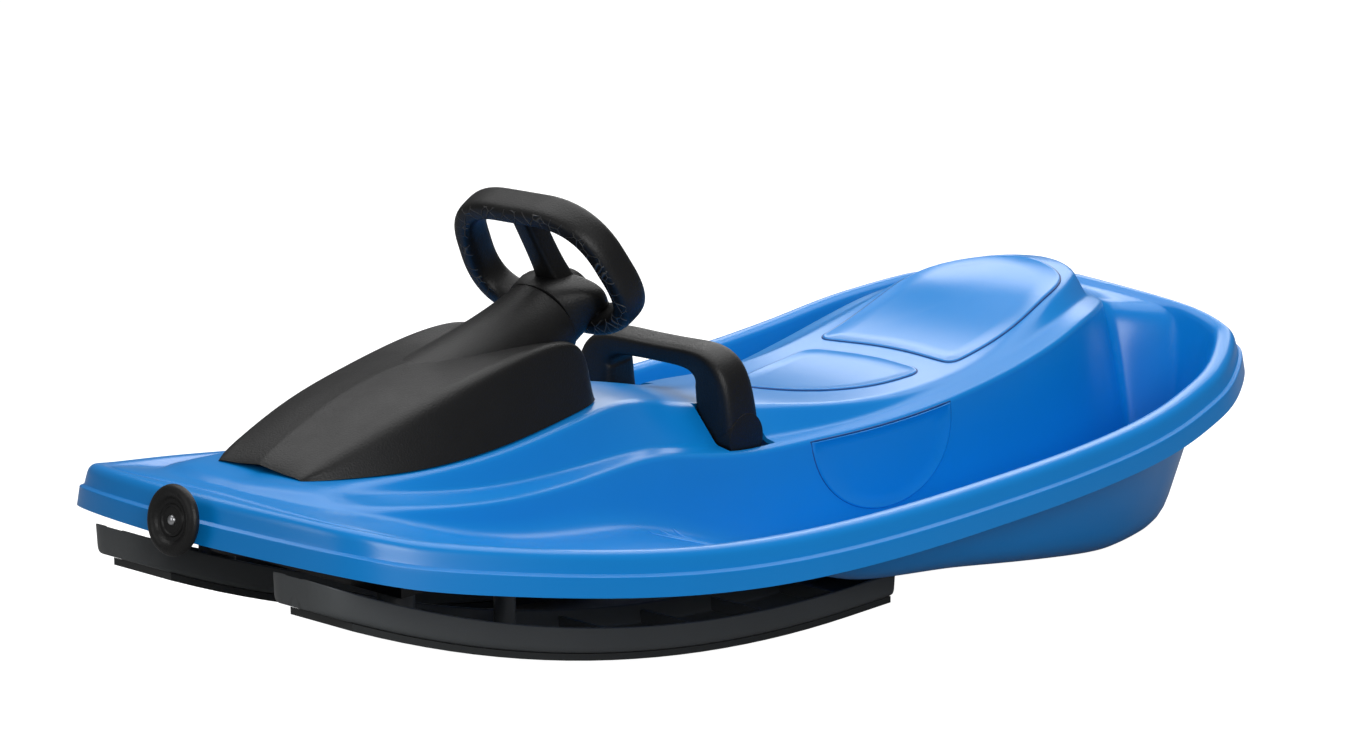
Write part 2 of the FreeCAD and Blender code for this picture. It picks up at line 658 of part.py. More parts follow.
def arc(sketch, start_x, start_y, end_x, centre_y):
    """An arc tied by its centre line, its level start and the place of its end."""
    centre = V(amount_of(start_x), amount_of(centre_y), 0)
    radius = amount_of(f"({centre_y}) - ({start_y})")
    sweep = math.asin((amount_of(end_x) - centre.x) / radius)
    curve = Part.ArcOfCircle(Part.Circle(centre, V(0, 0, 1), radius), 1.5 * math.pi, 1.5 * math.pi + sweep)
    index = sketch.addGeometry(curve, False)
    fix_point(sketch, index, 3, start_x, centre_y)
    fix_point(sketch, index, 1, None, start_y)
    fix_point(sketch, index, 2, end_x, None)
    return index


def line(sketch, a, b):
    """A plain line between two points."""
    return sketch.addGeometry(Part.LineSegment(a, b), False)


def join(sketch, *pairs):
    """Join end points of sketch lines."""
    for a, point_a, b, point_b in pairs:
        sketch.addConstraint(Sketcher.Constraint("Coincident", a, point_a, b, point_b))


def ends(sketch, index):
    """Start and end of a sketch line."""
    shape = sketch.Geometry[index]
    return shape.StartPoint, shape.EndPoint


def ski_body(tag):
    """Boat-shaped ski: an open tray with ribs, a kingpin boss and a stud for the tie bar."""
    body = new_body(f"Ski_{tag}")
    drawn = sketch_on(body, f"ski_profile_{tag}", "XZ_Plane")
    keel = arc(drawn, "ski_bend", "sole_thick", "ski_tip", "ski_rocker")
    edge = arc(drawn, "ski_bend", "sole_thick + ski_height", "ski_tip", "ski_rocker")
    tail = V(amount_of("ski_tail"), amount_of("sole_thick"), 0)
    crown = V(amount_of("ski_tail"), amount_of("sole_thick + ski_height"), 0)
    flat = line(drawn, tail, ends(drawn, keel)[0])
    stem = line(drawn, ends(drawn, keel)[1], ends(drawn, edge)[1])
    level = line(drawn, ends(drawn, edge)[0], crown)
    stern = line(drawn, crown, tail)
    join(drawn, (flat, 2, keel, 1), (keel, 2, stem, 1), (stem, 2, edge, 2), (edge, 1, level, 1),
         (level, 2, stern, 1), (stern, 2, flat, 1))
    fix_point(drawn, flat, 1, "ski_tail", "sole_thick")
    fix_point(drawn, level, 2, "ski_tail", "sole_thick + ski_height")
    feature(body, "Pad", f"ski_block_{tag}", drawn, "ski_width", middle=True)
    round_edges(body, f"ski_tip_{tag}", "26",
                lambda e: runs_along(e, V(0, 0, 1), 5) and e.CenterOfMass.x > 300)
    round_edges(body, f"ski_stern_{tag}", "12",
                lambda e: runs_along(e, V(0, 0, 1), 5) and e.CenterOfMass.x < -50)
    hollow = sketch_on(body, f"tray_profile_{tag}", "XZ_Plane")
    bed = arc(hollow, "ski_bend", "sole_thick + ski_floor", "ski_tip - 2*ski_wall", "ski_rocker")
    corner = V(amount_of("ski_tail + 2*ski_wall"), amount_of("sole_thick + ski_floor"), 0)
    base = line(hollow, corner, ends(hollow, bed)[0])
    front = line(hollow, ends(hollow, bed)[1], V(amount_of("ski_tip - 2*ski_wall"), 400, 0))
    roof = line(hollow, ends(hollow, front)[1], V(corner.x, 400, 0))
    back = line(hollow, ends(hollow, roof)[1], corner)
    join(hollow, (base, 2, bed, 1), (bed, 2, front, 1), (front, 2, roof, 1), (roof, 2, back, 1),
         (back, 2, base, 1))
    fix_point(hollow, base, 1, "ski_tail + 2*ski_wall", "sole_thick + ski_floor")
    fix_point(hollow, front, 2, "ski_tip - 2*ski_wall", "400")
    fix_point(hollow, roof, 2, "ski_tail + 2*ski_wall", "400")
    feature(body, "Pocket", f"tray_{tag}", hollow, "ski_width - 2*ski_wall", middle=True)
    ribs = sketch_on(body, f"rib_profile_{tag}", "XZ_Plane")
    for spot in (-50, 40, 130, 230, 390, 520):
        outline(ribs, [(f"{spot} - rib_thick/2", f"{rocker(spot, 'sole_thick + ski_floor')} - 2"),
                       (f"{spot} + rib_thick/2", f"{rocker(spot, 'sole_thick + ski_floor')} - 2"),
                       (f"{spot} + rib_thick/2", f"{rocker(spot, 'sole_thick + ski_height')} - 5"),
                       (f"{spot} - rib_thick/2", f"{rocker(spot, 'sole_thick + ski_height')} - 5")])
    feature(body, "Pad", f"ribs_{tag}", ribs, "ski_width - 2*ski_wall + 2", middle=True)
    bed_at_stud = rocker(STUD_X, "sole_thick + ski_floor")
    bed_at_pin = rocker("kingpin_x", "sole_thick + ski_floor")
    for name, x, radius, low, high in (
            ("stud_foot", STUD_X, "9", f"{bed_at_stud} - 4", "bar_low - 8"),
            ("stud", STUD_X, "stud_radius", "bar_low - 10", "bar_low + bar_thick + 6"),
            ("boss", "kingpin_x", "15", f"{bed_at_pin} - 6", "beam_low - seat_gap")):
        circle = ring(sketch_on(body, f"{name}_circle_{tag}", "XY_Plane", low), x, "0", radius)
        feature(body, "Pad", f"{name}_{tag}", circle, f"({high}) - ({low})")
    below = sketch_on(body, f"keel_profile_{tag}", "XZ_Plane")
    sweep = arc(below, "ski_bend", "sole_thick", "ski_tip", "ski_rocker")
    ground = V(amount_of("ski_bend"), -40, 0)
    drop = line(below, ends(below, sweep)[1], V(amount_of("ski_tip"), -40, 0))
    under = line(below, ends(below, drop)[1], ground)
    rise = line(below, ground, ends(below, sweep)[0])
    join(below, (sweep, 2, drop, 1), (drop, 2, under, 1), (under, 2, rise, 1), (rise, 2, sweep, 1))
    fix_point(below, drop, 2, "ski_tip", "-40")
    fix_point(below, under, 2, "ski_bend", "-40")
    feature(body, "Pocket", f"keel_trim_{tag}", below, "ski_width + 10", middle=True)
    well =ring(sketch_on(body, f"nut_circle_{tag}", "XY_Plane", "beam_low - 18"), "kingpin_x", "0", "11")
    feature(body, "Pocket", f"nut_well_{tag}", well, "60")
    hole = ring(sketch_on(body, f"pin_hole_{tag}", "XY_Plane", "beam_low + 1"), "kingpin_x", "0",
                "kingpin_radius + running")
    feature(body, "Pocket", f"kingpin_hole_{tag}", hole, "60")
    return body


def sole_body(tag):
    """Wear sole that follows the running surface of a ski."""
    body = new_body(f"Sole_{tag}")
    drawn = sketch_on(body, f"sole_profile_{tag}", "XZ_Plane")
    lower = arc(drawn, "ski_bend", "0", "sole_front", "ski_rocker")
    upper = arc(drawn, "ski_bend", "sole_thick - seat_gap", "sole_front", "ski_rocker")
    heel = V(amount_of("sole_rear"), 0, 0)
    lift = V(amount_of("sole_rear"), amount_of("sole_thick - seat_gap"), 0)
    run = line(drawn, heel, ends(drawn, lower)[0])
    nose = line(drawn, ends(drawn, lower)[1], ends(drawn, upper)[1])
    deck = line(drawn, ends(drawn, upper)[0], lift)
    butt = line(drawn, lift, heel)
    join(drawn, (run, 2, lower, 1), (lower, 2, nose, 1), (nose, 2, upper, 2), (upper, 1, deck, 1),
         (deck, 2, butt, 1), (butt, 2, run, 1))
    fix_point(drawn, run, 1, "sole_rear", "0")
    fix_point(drawn, deck, 2, "sole_rear", "sole_thick - seat_gap")
    feature(body, "Pad", f"sole_{tag}", drawn, "sole_width", middle=True)
    return body


for side, tag in ((1, "left"), (-1, "right")):
    ski = ski_body(tag)
    place(ski, "0", f"{side}*ski_gauge", "0")
    keep(ski, f"{tag}_ski")
    sole = sole_body(tag)
    place(sole, "0", f"{side}*ski_gauge", "0")
    keep(sole, f"{tag}_ski_sole")

# Kingpins that the skis turn on
bolts = []
nuts = []
washers = []
for side in (1, -1):
    tag = "left" if side > 0 else "right"
    y = f"{side}*ski_gauge"
    bolts.append(rod(f"bolt_{tag}", "kingpin_radius", "beam_high - beam_low + 29", "kingpin_x", y,
                     "beam_low - 28.8"))
    bolts.append(rod(f"bolt_head_{tag}", "9", "7", "kingpin_x", y, "beam_high + 0.2"))
    hexagon = doc.addObject("Part::Prism", f"nut_block_{tag}")
    hexagon.Polygon = 6
    bind(hexagon, Circumradius="9.5", Height="8")
    place(hexagon, "kingpin_x", y, "beam_low - 27.6")
    nut_bore = rod(f"nut_bore_{tag}", "kingpin_radius + press_gap", "20", "kingpin_x", y, "beam_low - 32")
    nuts.append(cut(f"nut_{tag}", hexagon, [nut_bore]))
    disc = rod(f"washer_disc_{tag}", "10", "1.4", "kingpin_x", y, "beam_low - 19.6")
    disc_bore = rod(f"washer_bore_{tag}", "kingpin_radius + press_gap", "20", "kingpin_x", y, "beam_low - 28")
    washers.append(cut(f"washer_{tag}", disc, [disc_bore]))
keep(fuse("bolts", bolts), "kingpin_bolts")
keep(fuse("nuts", nuts), "kingpin_nuts")
keep(fuse("washers", washers), "kingpin_washers")

# Brake handle, axle and claw
handle = new_body("Handle")
arch = outline(sketch_on(handle, "arch_outline", "YZ_Plane"), [
    ("-leg_out", "0"), ("-leg_in", "0"), ("-leg_in + 2", "arch_in - 20"), ("-leg_in + 16", "arch_in"),
    ("leg_in - 16", "arch_in"), ("leg_in - 2", "arch_in - 20"), ("leg_in", "0"), ("leg_out", "0"),
    ("leg_out - 4", "arch_up - 32"), ("leg_out - 26", "arch_up"), ("-leg_out + 26", "arch_up"),
    ("-leg_out + 4", "arch_up - 32")])
feature(handle, "Pad", "arch_block", arch, "leg_depth", middle=True)
round_edges(handle, "arch_corners", "18",
            lambda edge: runs_along(edge, V(1, 0, 0), 30) and edge.CenterOfMass.z > 10)
for side in (1, -1):
    shave = outline(sketch_on(handle, f"arch_taper_{side}", "XZ_Plane"), [
        (f"{side}*(leg_depth/2 + 1)", "8"), (f"{side}*arch_depth/2", "arch_up + 1"),
        (f"{side}*(leg_depth/2 + 1)", "arch_up + 1")])
    feature(handle, "Pocket", f"arch_shave_{side}", shave, "2*leg_out + 10", middle=True)
barrel_ring = ring(sketch_on(handle, "barrel_circle", "XZ_Plane"), "0", "0", "barrel")
feature(handle, "Pad", "barrel_bar", barrel_ring, "2*leg_out", middle=True)
between = ring(sketch_on(handle, "between_circle", "XZ_Plane"), "0", "0", "barrel + 1")
feature(handle, "Pocket", "between_legs", between, "2*leg_in", middle=True)
axle_ring = ring(sketch_on(handle, "axle_circle", "XZ_Plane"), "0", "0", "axle_radius + press_gap")
feature(handle, "Pocket", "axle_hole", axle_ring, "2*leg_out - 8", middle=True)
place(handle, "axle_x", "0", "axle_z", FreeCAD.Rotation(V(0, 1, 0), 6))
keep(handle, "brake_handle")
keep(rod("brake_rod", "axle_radius", "2*leg_out - 12", "axle_x", "-leg_out + 6", "axle_z", "Y"), "brake_axle")
claw = new_body("Claw")
blade = outline(sketch_on(claw, "claw_outline", "XZ_Plane"), [
    ("0", "10"), ("-96", "-4"), ("-172", "-9"), ("-207", "-29"), ("-223", "-79"), ("-216", "-81"),
    ("-201", "-34"), ("-170", "-16"), ("-97", "-11"), ("0", "2")])
feature(claw, "Pad", "claw_arm", blade, "claw_width", middle=True)
eye = ring(sketch_on(claw, "claw_eye", "XZ_Plane"), "0", "0", "claw_hub")
feature(claw, "Pad", "claw_hub_ring", eye, "claw_width + 12", middle=True)
eye_bore = ring(sketch_on(claw, "claw_bore", "XZ_Plane"), "0", "0", "axle_radius + press_gap")
feature(claw, "Pocket", "claw_hole", eye_bore, "claw_width + 20", middle=True)
notch = outline(sketch_on(claw, "claw_notch", "XY_Plane", "-100"), [
    ("-240", "-4"), ("-203", "-4"), ("-203", "4"), ("-240", "4")])
feature(claw, "Pocket", "claw_teeth", notch, "200", middle=True)
place(claw, "axle_x", "0", "axle_z")
keep(claw, "brake_claw")

# Pull handle, its ferrule and the cord reel
pull = new_body("Pull")
half = outline(sketch_on(pull, "pull_profile", "XZ_Plane"), [
    ("0", "-stem_length"), ("stem_radius", "-stem_length"), ("stem_radius", "2"), ("disc_radius - 11", "2"),
    ("disc_radius - 3", "3.2"), ("disc_radius", "7"), ("disc_radius - 1.5", "11"),
    ("disc_radius - 5.5", "disc_thick"), ("disc_radius - 10.5", "11.5"), ("disc_radius - 13", "8"),
    ("10", "7.5"), ("9", "11"), ("0", "11")])
spin(pull, "Revolution", "pull_turned", half, "V_Axis")
place(pull, PULL_X, "0", "cord_z", CORD)
keep(pull, "pull_handle")
ferrule = new_body("Ferrule")
collar = outline(sketch_on(ferrule, "ferrule_profile", "XZ_Plane"), [
    ("stem_radius + running", "-24"), ("11", "-24"), ("11", "-0.6"), ("16", "-0.6"), ("16", "1.4"),
    ("stem_radius + running", "1.4")])
spin(ferrule, "Revolution", "ferrule_turned", collar, "V_Axis")
place(ferrule, PULL_X, "0", "cord_z", CORD)
keep(ferrule, "nose_ferrule")
reel = new_body("Reel")
cup = outline(sketch_on(reel, "cup_profile", "XZ_Plane"), [
    ("reel_pin + press_gap", "reel_low"), ("reel_radius", "reel_low"), ("reel_radius", "reel_high"),
    ("reel_radius - 3", "reel_high"), ("reel_radius - 3", "reel_low + 3"),
    ("reel_pin + press_gap", "reel_low + 3")])
spin(reel, "Revolution", "cup_turned", cup, "V_Axis")
place(reel, REEL_X, "0", "0")
under_reel = around(amount_of(REEL_X), 46, 7)[0] - size("seat_gap")
lugs = []
for side in (1, -1):
    tag = "left" if side > 0 else "right"
    lugs.append(rod(f"reel_post_{tag}", "7", f"{under_reel:.3f} - reel_low - 4", REEL_X, str(side * 46),
                    "reel_low + 4"))
mouth = box("reel_mouth", f"{REEL_X} + reel_radius - 10", f"{REEL_X} + reel_radius + 6", "-8", "8",
            "reel_low + 10", "reel_high + 1")
throat = rod("reel_throat", "reel_radius - 3", "40", REEL_X, "0", "reel_low + 3")
keep(cut("reel_case", fuse("reel_whole", [reel] + lugs), [mouth, throat]), "reel_housing")
drum = new_body("Drum")
spool = outline(sketch_on(drum, "spool_profile", "XZ_Plane"), [
    ("reel_pin + running", "reel_low + 3.5"), ("drum_radius + 4", "reel_low + 3.5"),
    ("drum_radius + 4", "reel_low + 6"), ("drum_radius - 6", "reel_low + 8"),
    ("drum_radius - 6", "reel_high - 6"), ("drum_radius + 4", "reel_high - 4"),
    ("drum_radius + 4", "reel_high - 1.5"), ("reel_pin + running", "reel_high - 1.5")])
spin(drum, "Revolution", "spool_turned", spool, "V_Axis")
place(drum, REEL_X, "0", "0")
keep(drum, "reel_drum")
keep(rod("reel_spindle", "reel_pin", "reel_high - reel_low - 0.4", REEL_X, "0", "reel_low"), "reel_axle")
lid = cut("lid", rod("lid_disc", "reel_radius - 1.4", "2.5", REEL_X, "0", "reel_high + 0.2"),
          [rod("lid_bore", "reel_pin + 0.1", "10", REEL_X, "0", "reel_high - 4")])
keep(lid, "reel_cover")

doc.recompute()
for thing in doc.Objects:
    if {"Invalid", "Error"} & set(thing.State):
        raise RuntimeError(f"{thing.Label} did not build")
for thing in NODES:
    if thing.Shape.isNull() or not thing.Shape.isValid():
        raise RuntimeError(f"{thing.Label} has no sound solid")
    thing.Shape.exportStep(f"parts/{thing.Label}.step")
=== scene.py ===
"""Looks of a steering sled: a moulded deck, a cowl with its column hood, a yoke wheel, a brake arch and two skis.

Sizes are millimetres in the sled's own frame: +X to the nose, +Y to the rider's left, +Z up from the snow. Finishes,
lamps, the camera and the floor are in metres.
"""
import json
import logging
import math
from collections.abc import Sequence
from dataclasses import dataclass, field, replace
from enum import Enum, IntEnum

import bmesh
import bpy
import numpy as np
from mathutils import Matrix, Vector

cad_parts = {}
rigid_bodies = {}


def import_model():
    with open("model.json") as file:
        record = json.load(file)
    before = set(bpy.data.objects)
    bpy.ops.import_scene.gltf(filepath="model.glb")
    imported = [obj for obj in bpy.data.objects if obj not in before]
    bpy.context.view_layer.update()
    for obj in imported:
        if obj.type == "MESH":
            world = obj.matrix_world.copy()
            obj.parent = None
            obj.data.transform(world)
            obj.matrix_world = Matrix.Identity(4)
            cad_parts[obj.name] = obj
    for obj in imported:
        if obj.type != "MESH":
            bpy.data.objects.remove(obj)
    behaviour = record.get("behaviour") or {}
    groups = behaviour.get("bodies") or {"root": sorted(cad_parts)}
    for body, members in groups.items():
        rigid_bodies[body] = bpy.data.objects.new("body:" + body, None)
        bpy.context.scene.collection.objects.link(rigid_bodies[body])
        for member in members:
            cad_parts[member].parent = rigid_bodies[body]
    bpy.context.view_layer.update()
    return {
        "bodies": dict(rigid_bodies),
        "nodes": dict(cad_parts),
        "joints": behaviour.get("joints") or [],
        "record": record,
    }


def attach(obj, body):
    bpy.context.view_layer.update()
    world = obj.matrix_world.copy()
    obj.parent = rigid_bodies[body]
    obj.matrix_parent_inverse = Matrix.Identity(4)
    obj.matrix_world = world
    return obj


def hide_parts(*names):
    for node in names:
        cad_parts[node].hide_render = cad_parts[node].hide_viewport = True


LOG = logging.getLogger("sled")
MM = 0.001
TINY = 1e-9
MERGE_M = 0.00002
SLIVER_M = 0.000005
CRISP_DEG = 40.0
LEG_SHARE = 0.48
AXIS_X, AXIS_Y, AXIS_Z = (1.0, 0.0, 0.0), (0.0, 1.0, 0.0), (0.0, 0.0, 1.0)

Flat = tuple[float, float]
Point = tuple[float, float, float]


class Body(Enum):
    """The moving bodies that a piece can ride on."""

    DECK = "deck"
    STEERING = "steering"
    BRAKE = "brake"
    PULL = "pull"


class Slot(Enum):
    """The record's material slots."""

    BLUE = "blue_shell"
    BLACK = "black_plastic"
    SKI = "ski_plastic"
    SOLE = "sole_plastic"
    STEEL = "steel"
    NYLON = "nylon"


class Line(IntEnum):
    """Corner lines of the deck's half section that other shapes follow, counted from the edge of the skirt."""

    SKIRT = 0
    STEP = 1
    WELL = 8
    LEDGE = 9
    PAD = 11
    MIDDLE = 12


@dataclass(frozen=True)
class Crackle:
    """Raised veins on the part of a piece that lies beyond a plane.

    A vein follows the borders of random cells; it is kept where the point's distance along the way is past the start.
    Its crest is painted pale as a painted highlight.
    """

    cells: float
    width: float
    depth: float
    way: Point
    start: float
    crest_highlight: Point


@dataclass(frozen=True)
class Finish:
    """A moulded or metal surface made of procedural nodes on object coordinates.

    The colour drifts slowly with one noise, the roughness with a second and the relief is a fine grain, so that
    colour = base * (1 - drift * noise), roughness = rough + spread * (2 * noise - 1) and height = depth * grain.
    """

    name: str
    colour: Point
    rough: float
    spread: float
    drift: float
    grain_size: float
    grain_depth: float
    metallic: float = 0.0
    specular: float = 0.5
    crackle: Crackle | None = None
    drift_scale: float = 9.0
    wear_scale: float = 45.0
    grain_strength: float = 0.6

    def build(self) -> bpy.types.Material:
        """Make the material.

        Returns:
            The new material.
        """
        material = bpy.data.materials.new(self.name)
        material.use_nodes = True
        tree = material.node_tree
        shader = tree.nodes["Principled BSDF"]
        shader.inputs["Metallic"].default_value = self.metallic
        shader.inputs["Specular IOR Level"].default_value = self.specular
        place = tree.nodes.new("ShaderNodeTexCoord")
        slow = self.noise(tree, place, self.drift_scale, octaves=3.0)
        tint = tree.nodes.new("ShaderNodeMixRGB")
        tint.inputs["Color1"].default_value = (*self.colour, 1.0)
        shade = tuple(c * (1 - self.drift) for c in self.colour)
        tint.inputs["Color2"].default_value = (*shade, 1.0)
        tree.links.new(slow.outputs["Fac"], tint.inputs["Fac"])
        tree.links.new(tint.outputs["Color"], shader.inputs["Base Color"])
        wear = self.noise(tree, place, self.wear_scale, octaves=4.0)
        gloss = tree.nodes.new("ShaderNodeMapRange")
        gloss.inputs["To Min"].default_value = self.rough - self.spread
        gloss.inputs["To Max"].default_value = self.rough + self.spread
        tree.links.new(wear.outputs["Fac"], gloss.inputs["Value"])
        tree.links.new(gloss.outputs["Result"], shader.inputs["Roughness"])
        grain = self.noise(tree, place, 1.0 / self.grain_size, octaves=2.0)
        bump = tree.nodes.new("ShaderNodeBump")
        bump.inputs["Strength"].default_value = self.grain_strength
        bump.inputs["Distance"].default_value = self.grain_depth
        tree.links.new(grain.outputs["Fac"], bump.inputs["Height"])
        tree.links.new(bump.outputs["Normal"], shader.inputs["Normal"])
        if self.crackle:
            self.veins(tree, place, bump, tint, shader)
        return material

    def veins(self, tree: bpy.types.NodeTree, place: bpy.types.Node, under: bpy.types.Node, tint: bpy.types.Node,
              shader: bpy.types.Node) -> None:
        """Lay the raised veins over the grain, with a painted highlight on their crests.

        Args:
            tree: Node tree to add to.
            place: Texture coordinate node.
            under: Bump node of the grain.
            tint: Colour node of the surface.
            shader: Surface shader.
        """
        cells = tree.nodes.new("ShaderNodeTexVoronoi")
        cells.feature = "DISTANCE_TO_EDGE"
        cells.inputs["Scale"].default_value = self.crackle.cells
        tree.links.new(place.outputs["Object"], cells.inputs["Vector"])
        ridge = tree.nodes.new("ShaderNodeMapRange")
        ridge.inputs["From Max"].default_value = self.crackle.width
        ridge.inputs["To Min"].default_value = 1.0
        ridge.inputs["To Max"].default_value = 0.0
        tree.links.new(cells.outputs["Distance"], ridge.inputs["Value"])
        along = tree.nodes.new("ShaderNodeVectorMath")
        along.operation = "DOT_PRODUCT"
        along.inputs[1].default_value = self.crackle.way
        tree.links.new(place.outputs["Object"], along.inputs[0])
        beyond = tree.nodes.new("ShaderNodeMath")
        beyond.operation = "GREATER_THAN"
        beyond.inputs[1].default_value = self.crackle.start
        tree.links.new(along.outputs["Value"], beyond.inputs[0])
        kept = tree.nodes.new("ShaderNodeMath")
        kept.operation = "MULTIPLY"
        tree.links.new(ridge.outputs["Result"], kept.inputs[0])
        tree.links.new(beyond.outputs["Value"], kept.inputs[1])
        bump = tree.nodes.new("ShaderNodeBump")
        bump.inputs["Strength"].default_value = 1.0
        bump.inputs["Distance"].default_value = self.crackle.depth
        tree.links.new(kept.outputs["Value"], bump.inputs["Height"])
        tree.links.new(under.outputs["Normal"], bump.inputs["Normal"])
        tree.links.new(bump.outputs["Normal"], shader.inputs["Normal"])
        # Pale colour on the vein crests is a painted highlight.
        crest = tree.nodes.new("ShaderNodeMixRGB")
        crest.inputs["Color2"].default_value = (*self.crackle.crest_highlight, 1.0)
        tree.links.new(kept.outputs["Value"], crest.inputs["Fac"])
        tree.links.new(tint.outputs["Color"], crest.inputs["Color1"])
        tree.links.new(crest.outputs["Color"], shader.inputs["Base Color"])

    @staticmethod
    def noise(tree: bpy.types.NodeTree, place: bpy.types.Node, scale: float, octaves: float) -> bpy.types.Node:
        """Add a noise read from object coordinates.

        Args:
            tree: Node tree to add to.
            place: Texture coordinate node.
            scale: Cells to the metre.
            octaves: Finer and finer noises laid over the first.

        Returns:
            The noise node.
        """
        node = tree.nodes.new("ShaderNodeTexNoise")
        node.inputs["Scale"].default_value = scale
        node.inputs["Detail"].default_value = octaves
        tree.links.new(place.outputs["Object"], node.inputs["Vector"])
        return node


FINISHES: dict[Slot, Finish] = {
    Slot.BLUE: Finish("gloss_blue", (0.002, 0.250, 0.720), rough=0.29, spread=0.015, drift=0.08,
                      grain_size=0.0022, grain_depth=0.00002),
    Slot.BLACK: Finish("grained_black", (0.0048, 0.0048, 0.0050), rough=0.46, spread=0.06, drift=0.25,
                       grain_size=0.0016, grain_depth=0.00050, specular=0.4),
    Slot.SKI: Finish("ski_grey", (0.085, 0.092, 0.096), rough=0.42, spread=0.06, drift=0.20,
                     grain_size=0.0012, grain_depth=0.00008),
    Slot.SOLE: Finish("sole_grey", (0.030, 0.033, 0.034), rough=0.46, spread=0.06, drift=0.20,
                      grain_size=0.0012, grain_depth=0.00008),
    Slot.STEEL: Finish("zinc_steel", (0.56, 0.57, 0.59), rough=0.32, spread=0.04, drift=0.12,
                       grain_size=0.0010, grain_depth=0.00002, metallic=1.0),
    Slot.NYLON: Finish("white_nylon", (0.72, 0.71, 0.67), rough=0.50, spread=0.05, drift=0.08,
                       grain_size=0.0015, grain_depth=0.00003),
}
# Dark blue of the panels' joint lines: painted shade of the narrow grooves between the panels.
GROOVE_SHADE = Finish("groove_shade_blue", (0.001, 0.055, 0.240), rough=0.45, spread=0.05, drift=0.10,
                grain_size=0.0022, grain_depth=0.00002)
# The wheel's black with raised veins, whose pale crests are a painted highlight.
CRACKLED = replace(
    FINISHES[Slot.BLACK], name="crackled_black",
    crackle=Crackle(cells=84.0, width=0.05, depth=0.0012, way=(0.866, 0.0, -0.5), start=-0.0075,
                    crest_highlight=(0.085, 0.085, 0.085)))


class Paint:
    """Keeps one material for each slot, and the two that only some pieces wear: the crackled black, whose pale vein
    crests are a painted highlight, and the dark blue of painted groove shade.
    """

    def __init__(self) -> None:
        """Make every finish once."""
        self.made = {slot: finish.build() for slot, finish in FINISHES.items()}
        self.crackled = CRACKLED.build()
        self.groove_shade = GROOVE_SHADE.build()

    def on_cad(self, frame: dict) -> None:
        """Give every CAD node the finish of its slot.
        """
        slots = {row["node"]: Slot(row["material_slot"]) for row in frame["record"]["subparts"]}
        for name, thing in frame["nodes"].items():
            thing.data.materials.clear()
            thing.data.materials.append(self.made[slots[name]])

    def on_piece(self, piece: bpy.types.Object, slot: Slot) -> None:
        """Give a new piece the finish of a slot.

        Args:
            piece: The piece.
            slot: Slot of the record.
        """
        piece.data.materials.clear()
        piece.data.materials.append(self.made[slot])


def quads_of(rows: int, columns: int, ring_rows: bool = False, ring_columns: bool = False) -> np.ndarray:
    """Corner numbers of the quads of a grid.

    Args:
        rows: Points along the first parameter.
        columns: Points along the second parameter.
        ring_rows: Whether the last row meets the first.
        ring_columns: Whether the last column meets the first.

    Returns:
        Array of quads, four corners each.
    """
    i = np.arange(rows if ring_rows else rows - 1)
    j = np.arange(columns if ring_columns else columns - 1)
    a, b = np.meshgrid(i, j, indexing="ij")
    c, d = (a + 1) % rows, (b + 1) % columns
    return np.stack([a * columns + b, c * columns + b, c * columns + d, a * columns + d], -1).reshape(-1, 4)


def shade(data: bpy.types.Mesh, sharp_deg: float) -> None:
    """Shade a mesh smooth, but for the edges that bend by more than an angle.

    Args:
        data: The mesh.
        sharp_deg: Edges that bend by more than this stay crisp.
    """
    data.polygons.foreach_set("use_smooth", np.ones(len(data.polygons), dtype=bool))
    data.set_sharp_from_angle(angle=math.radians(sharp_deg))


@dataclass
class Skin:
    """Points in millimetres and the faces between them, gathered before they become a mesh."""

    points: list[np.ndarray] = field(default_factory=list)
    quads: list[np.ndarray] = field(default_factory=list)
    count: int = 0

    def add(self, grid: np.ndarray, ring_rows: bool = False, ring_columns: bool = False) -> "Skin":
        """Add a grid of points, with its quads.

        Args:
            grid: Points, rows by columns by three.
            ring_rows: Whether the last row meets the first.
            ring_columns: Whether the last column meets the first.

        Returns:
            This skin.
        """
        rows, columns = grid.shape[:2]
        self.points.append(grid.reshape(-1, 3))
        self.quads.append(quads_of(rows, columns, ring_rows, ring_columns) + self.count)
        self.count += rows * columns
        return self

    def mirrored(self) -> "Skin":
        """Add the other side: every point with its Y turned round.

        Returns:
            A skin of both sides.
        """
        both = self.points + [p * np.array([1.0, -1.0, 1.0]) for p in self.points]
        faces = self.quads + [q[:, ::-1] + self.count for q in self.quads]
        return Skin(both, faces, 2 * self.count)

    def mesh(self, name: str, sharp_deg: float = CRISP_DEG) -> bpy.types.Object:
        """Turn the skin into an object with merged points and outward faces.

        Args:
            name: Name of the piece.
            sharp_deg: Edges that bend by more than this stay crisp.

        Returns:
            The new object, linked to the scene.
        """
        points = np.concatenate(self.points) * MM
        quads = np.concatenate(self.quads)
        data = bpy.data.meshes.new(name)
        data.vertices.add(len(points))
        data.vertices.foreach_set("co", points.astype(np.float32).ravel())
        data.loops.add(quads.size)
        data.loops.foreach_set("vertex_index", quads.astype(np.int32).ravel())
        data.polygons.add(len(quads))
        data.polygons.foreach_set("loop_start", np.arange(0, quads.size, 4, dtype=np.int32))
        data.update(calc_edges=True)
        work = bmesh.new()
        work.from_mesh(data)
        bmesh.ops.remove_doubles(work, verts=work.verts, dist=MERGE_M)
        bmesh.ops.dissolve_degenerate(work, edges=work.edges, dist=SLIVER_M)
        bmesh.ops.recalc_face_normals(work, faces=work.faces)
        work.to_mesh(data)
        work.free()
        shade(data, sharp_deg)
        piece = bpy.data.objects.new(name, data)
        bpy.context.scene.collection.objects.link(piece)
        return piece


def unit(vectors: np.ndarray) -> np.ndarray:
    """Vectors of the last axis divided by their lengths."""
    return vectors / np.maximum(np.linalg.norm(vectors, axis=-1, keepdims=True), TINY)


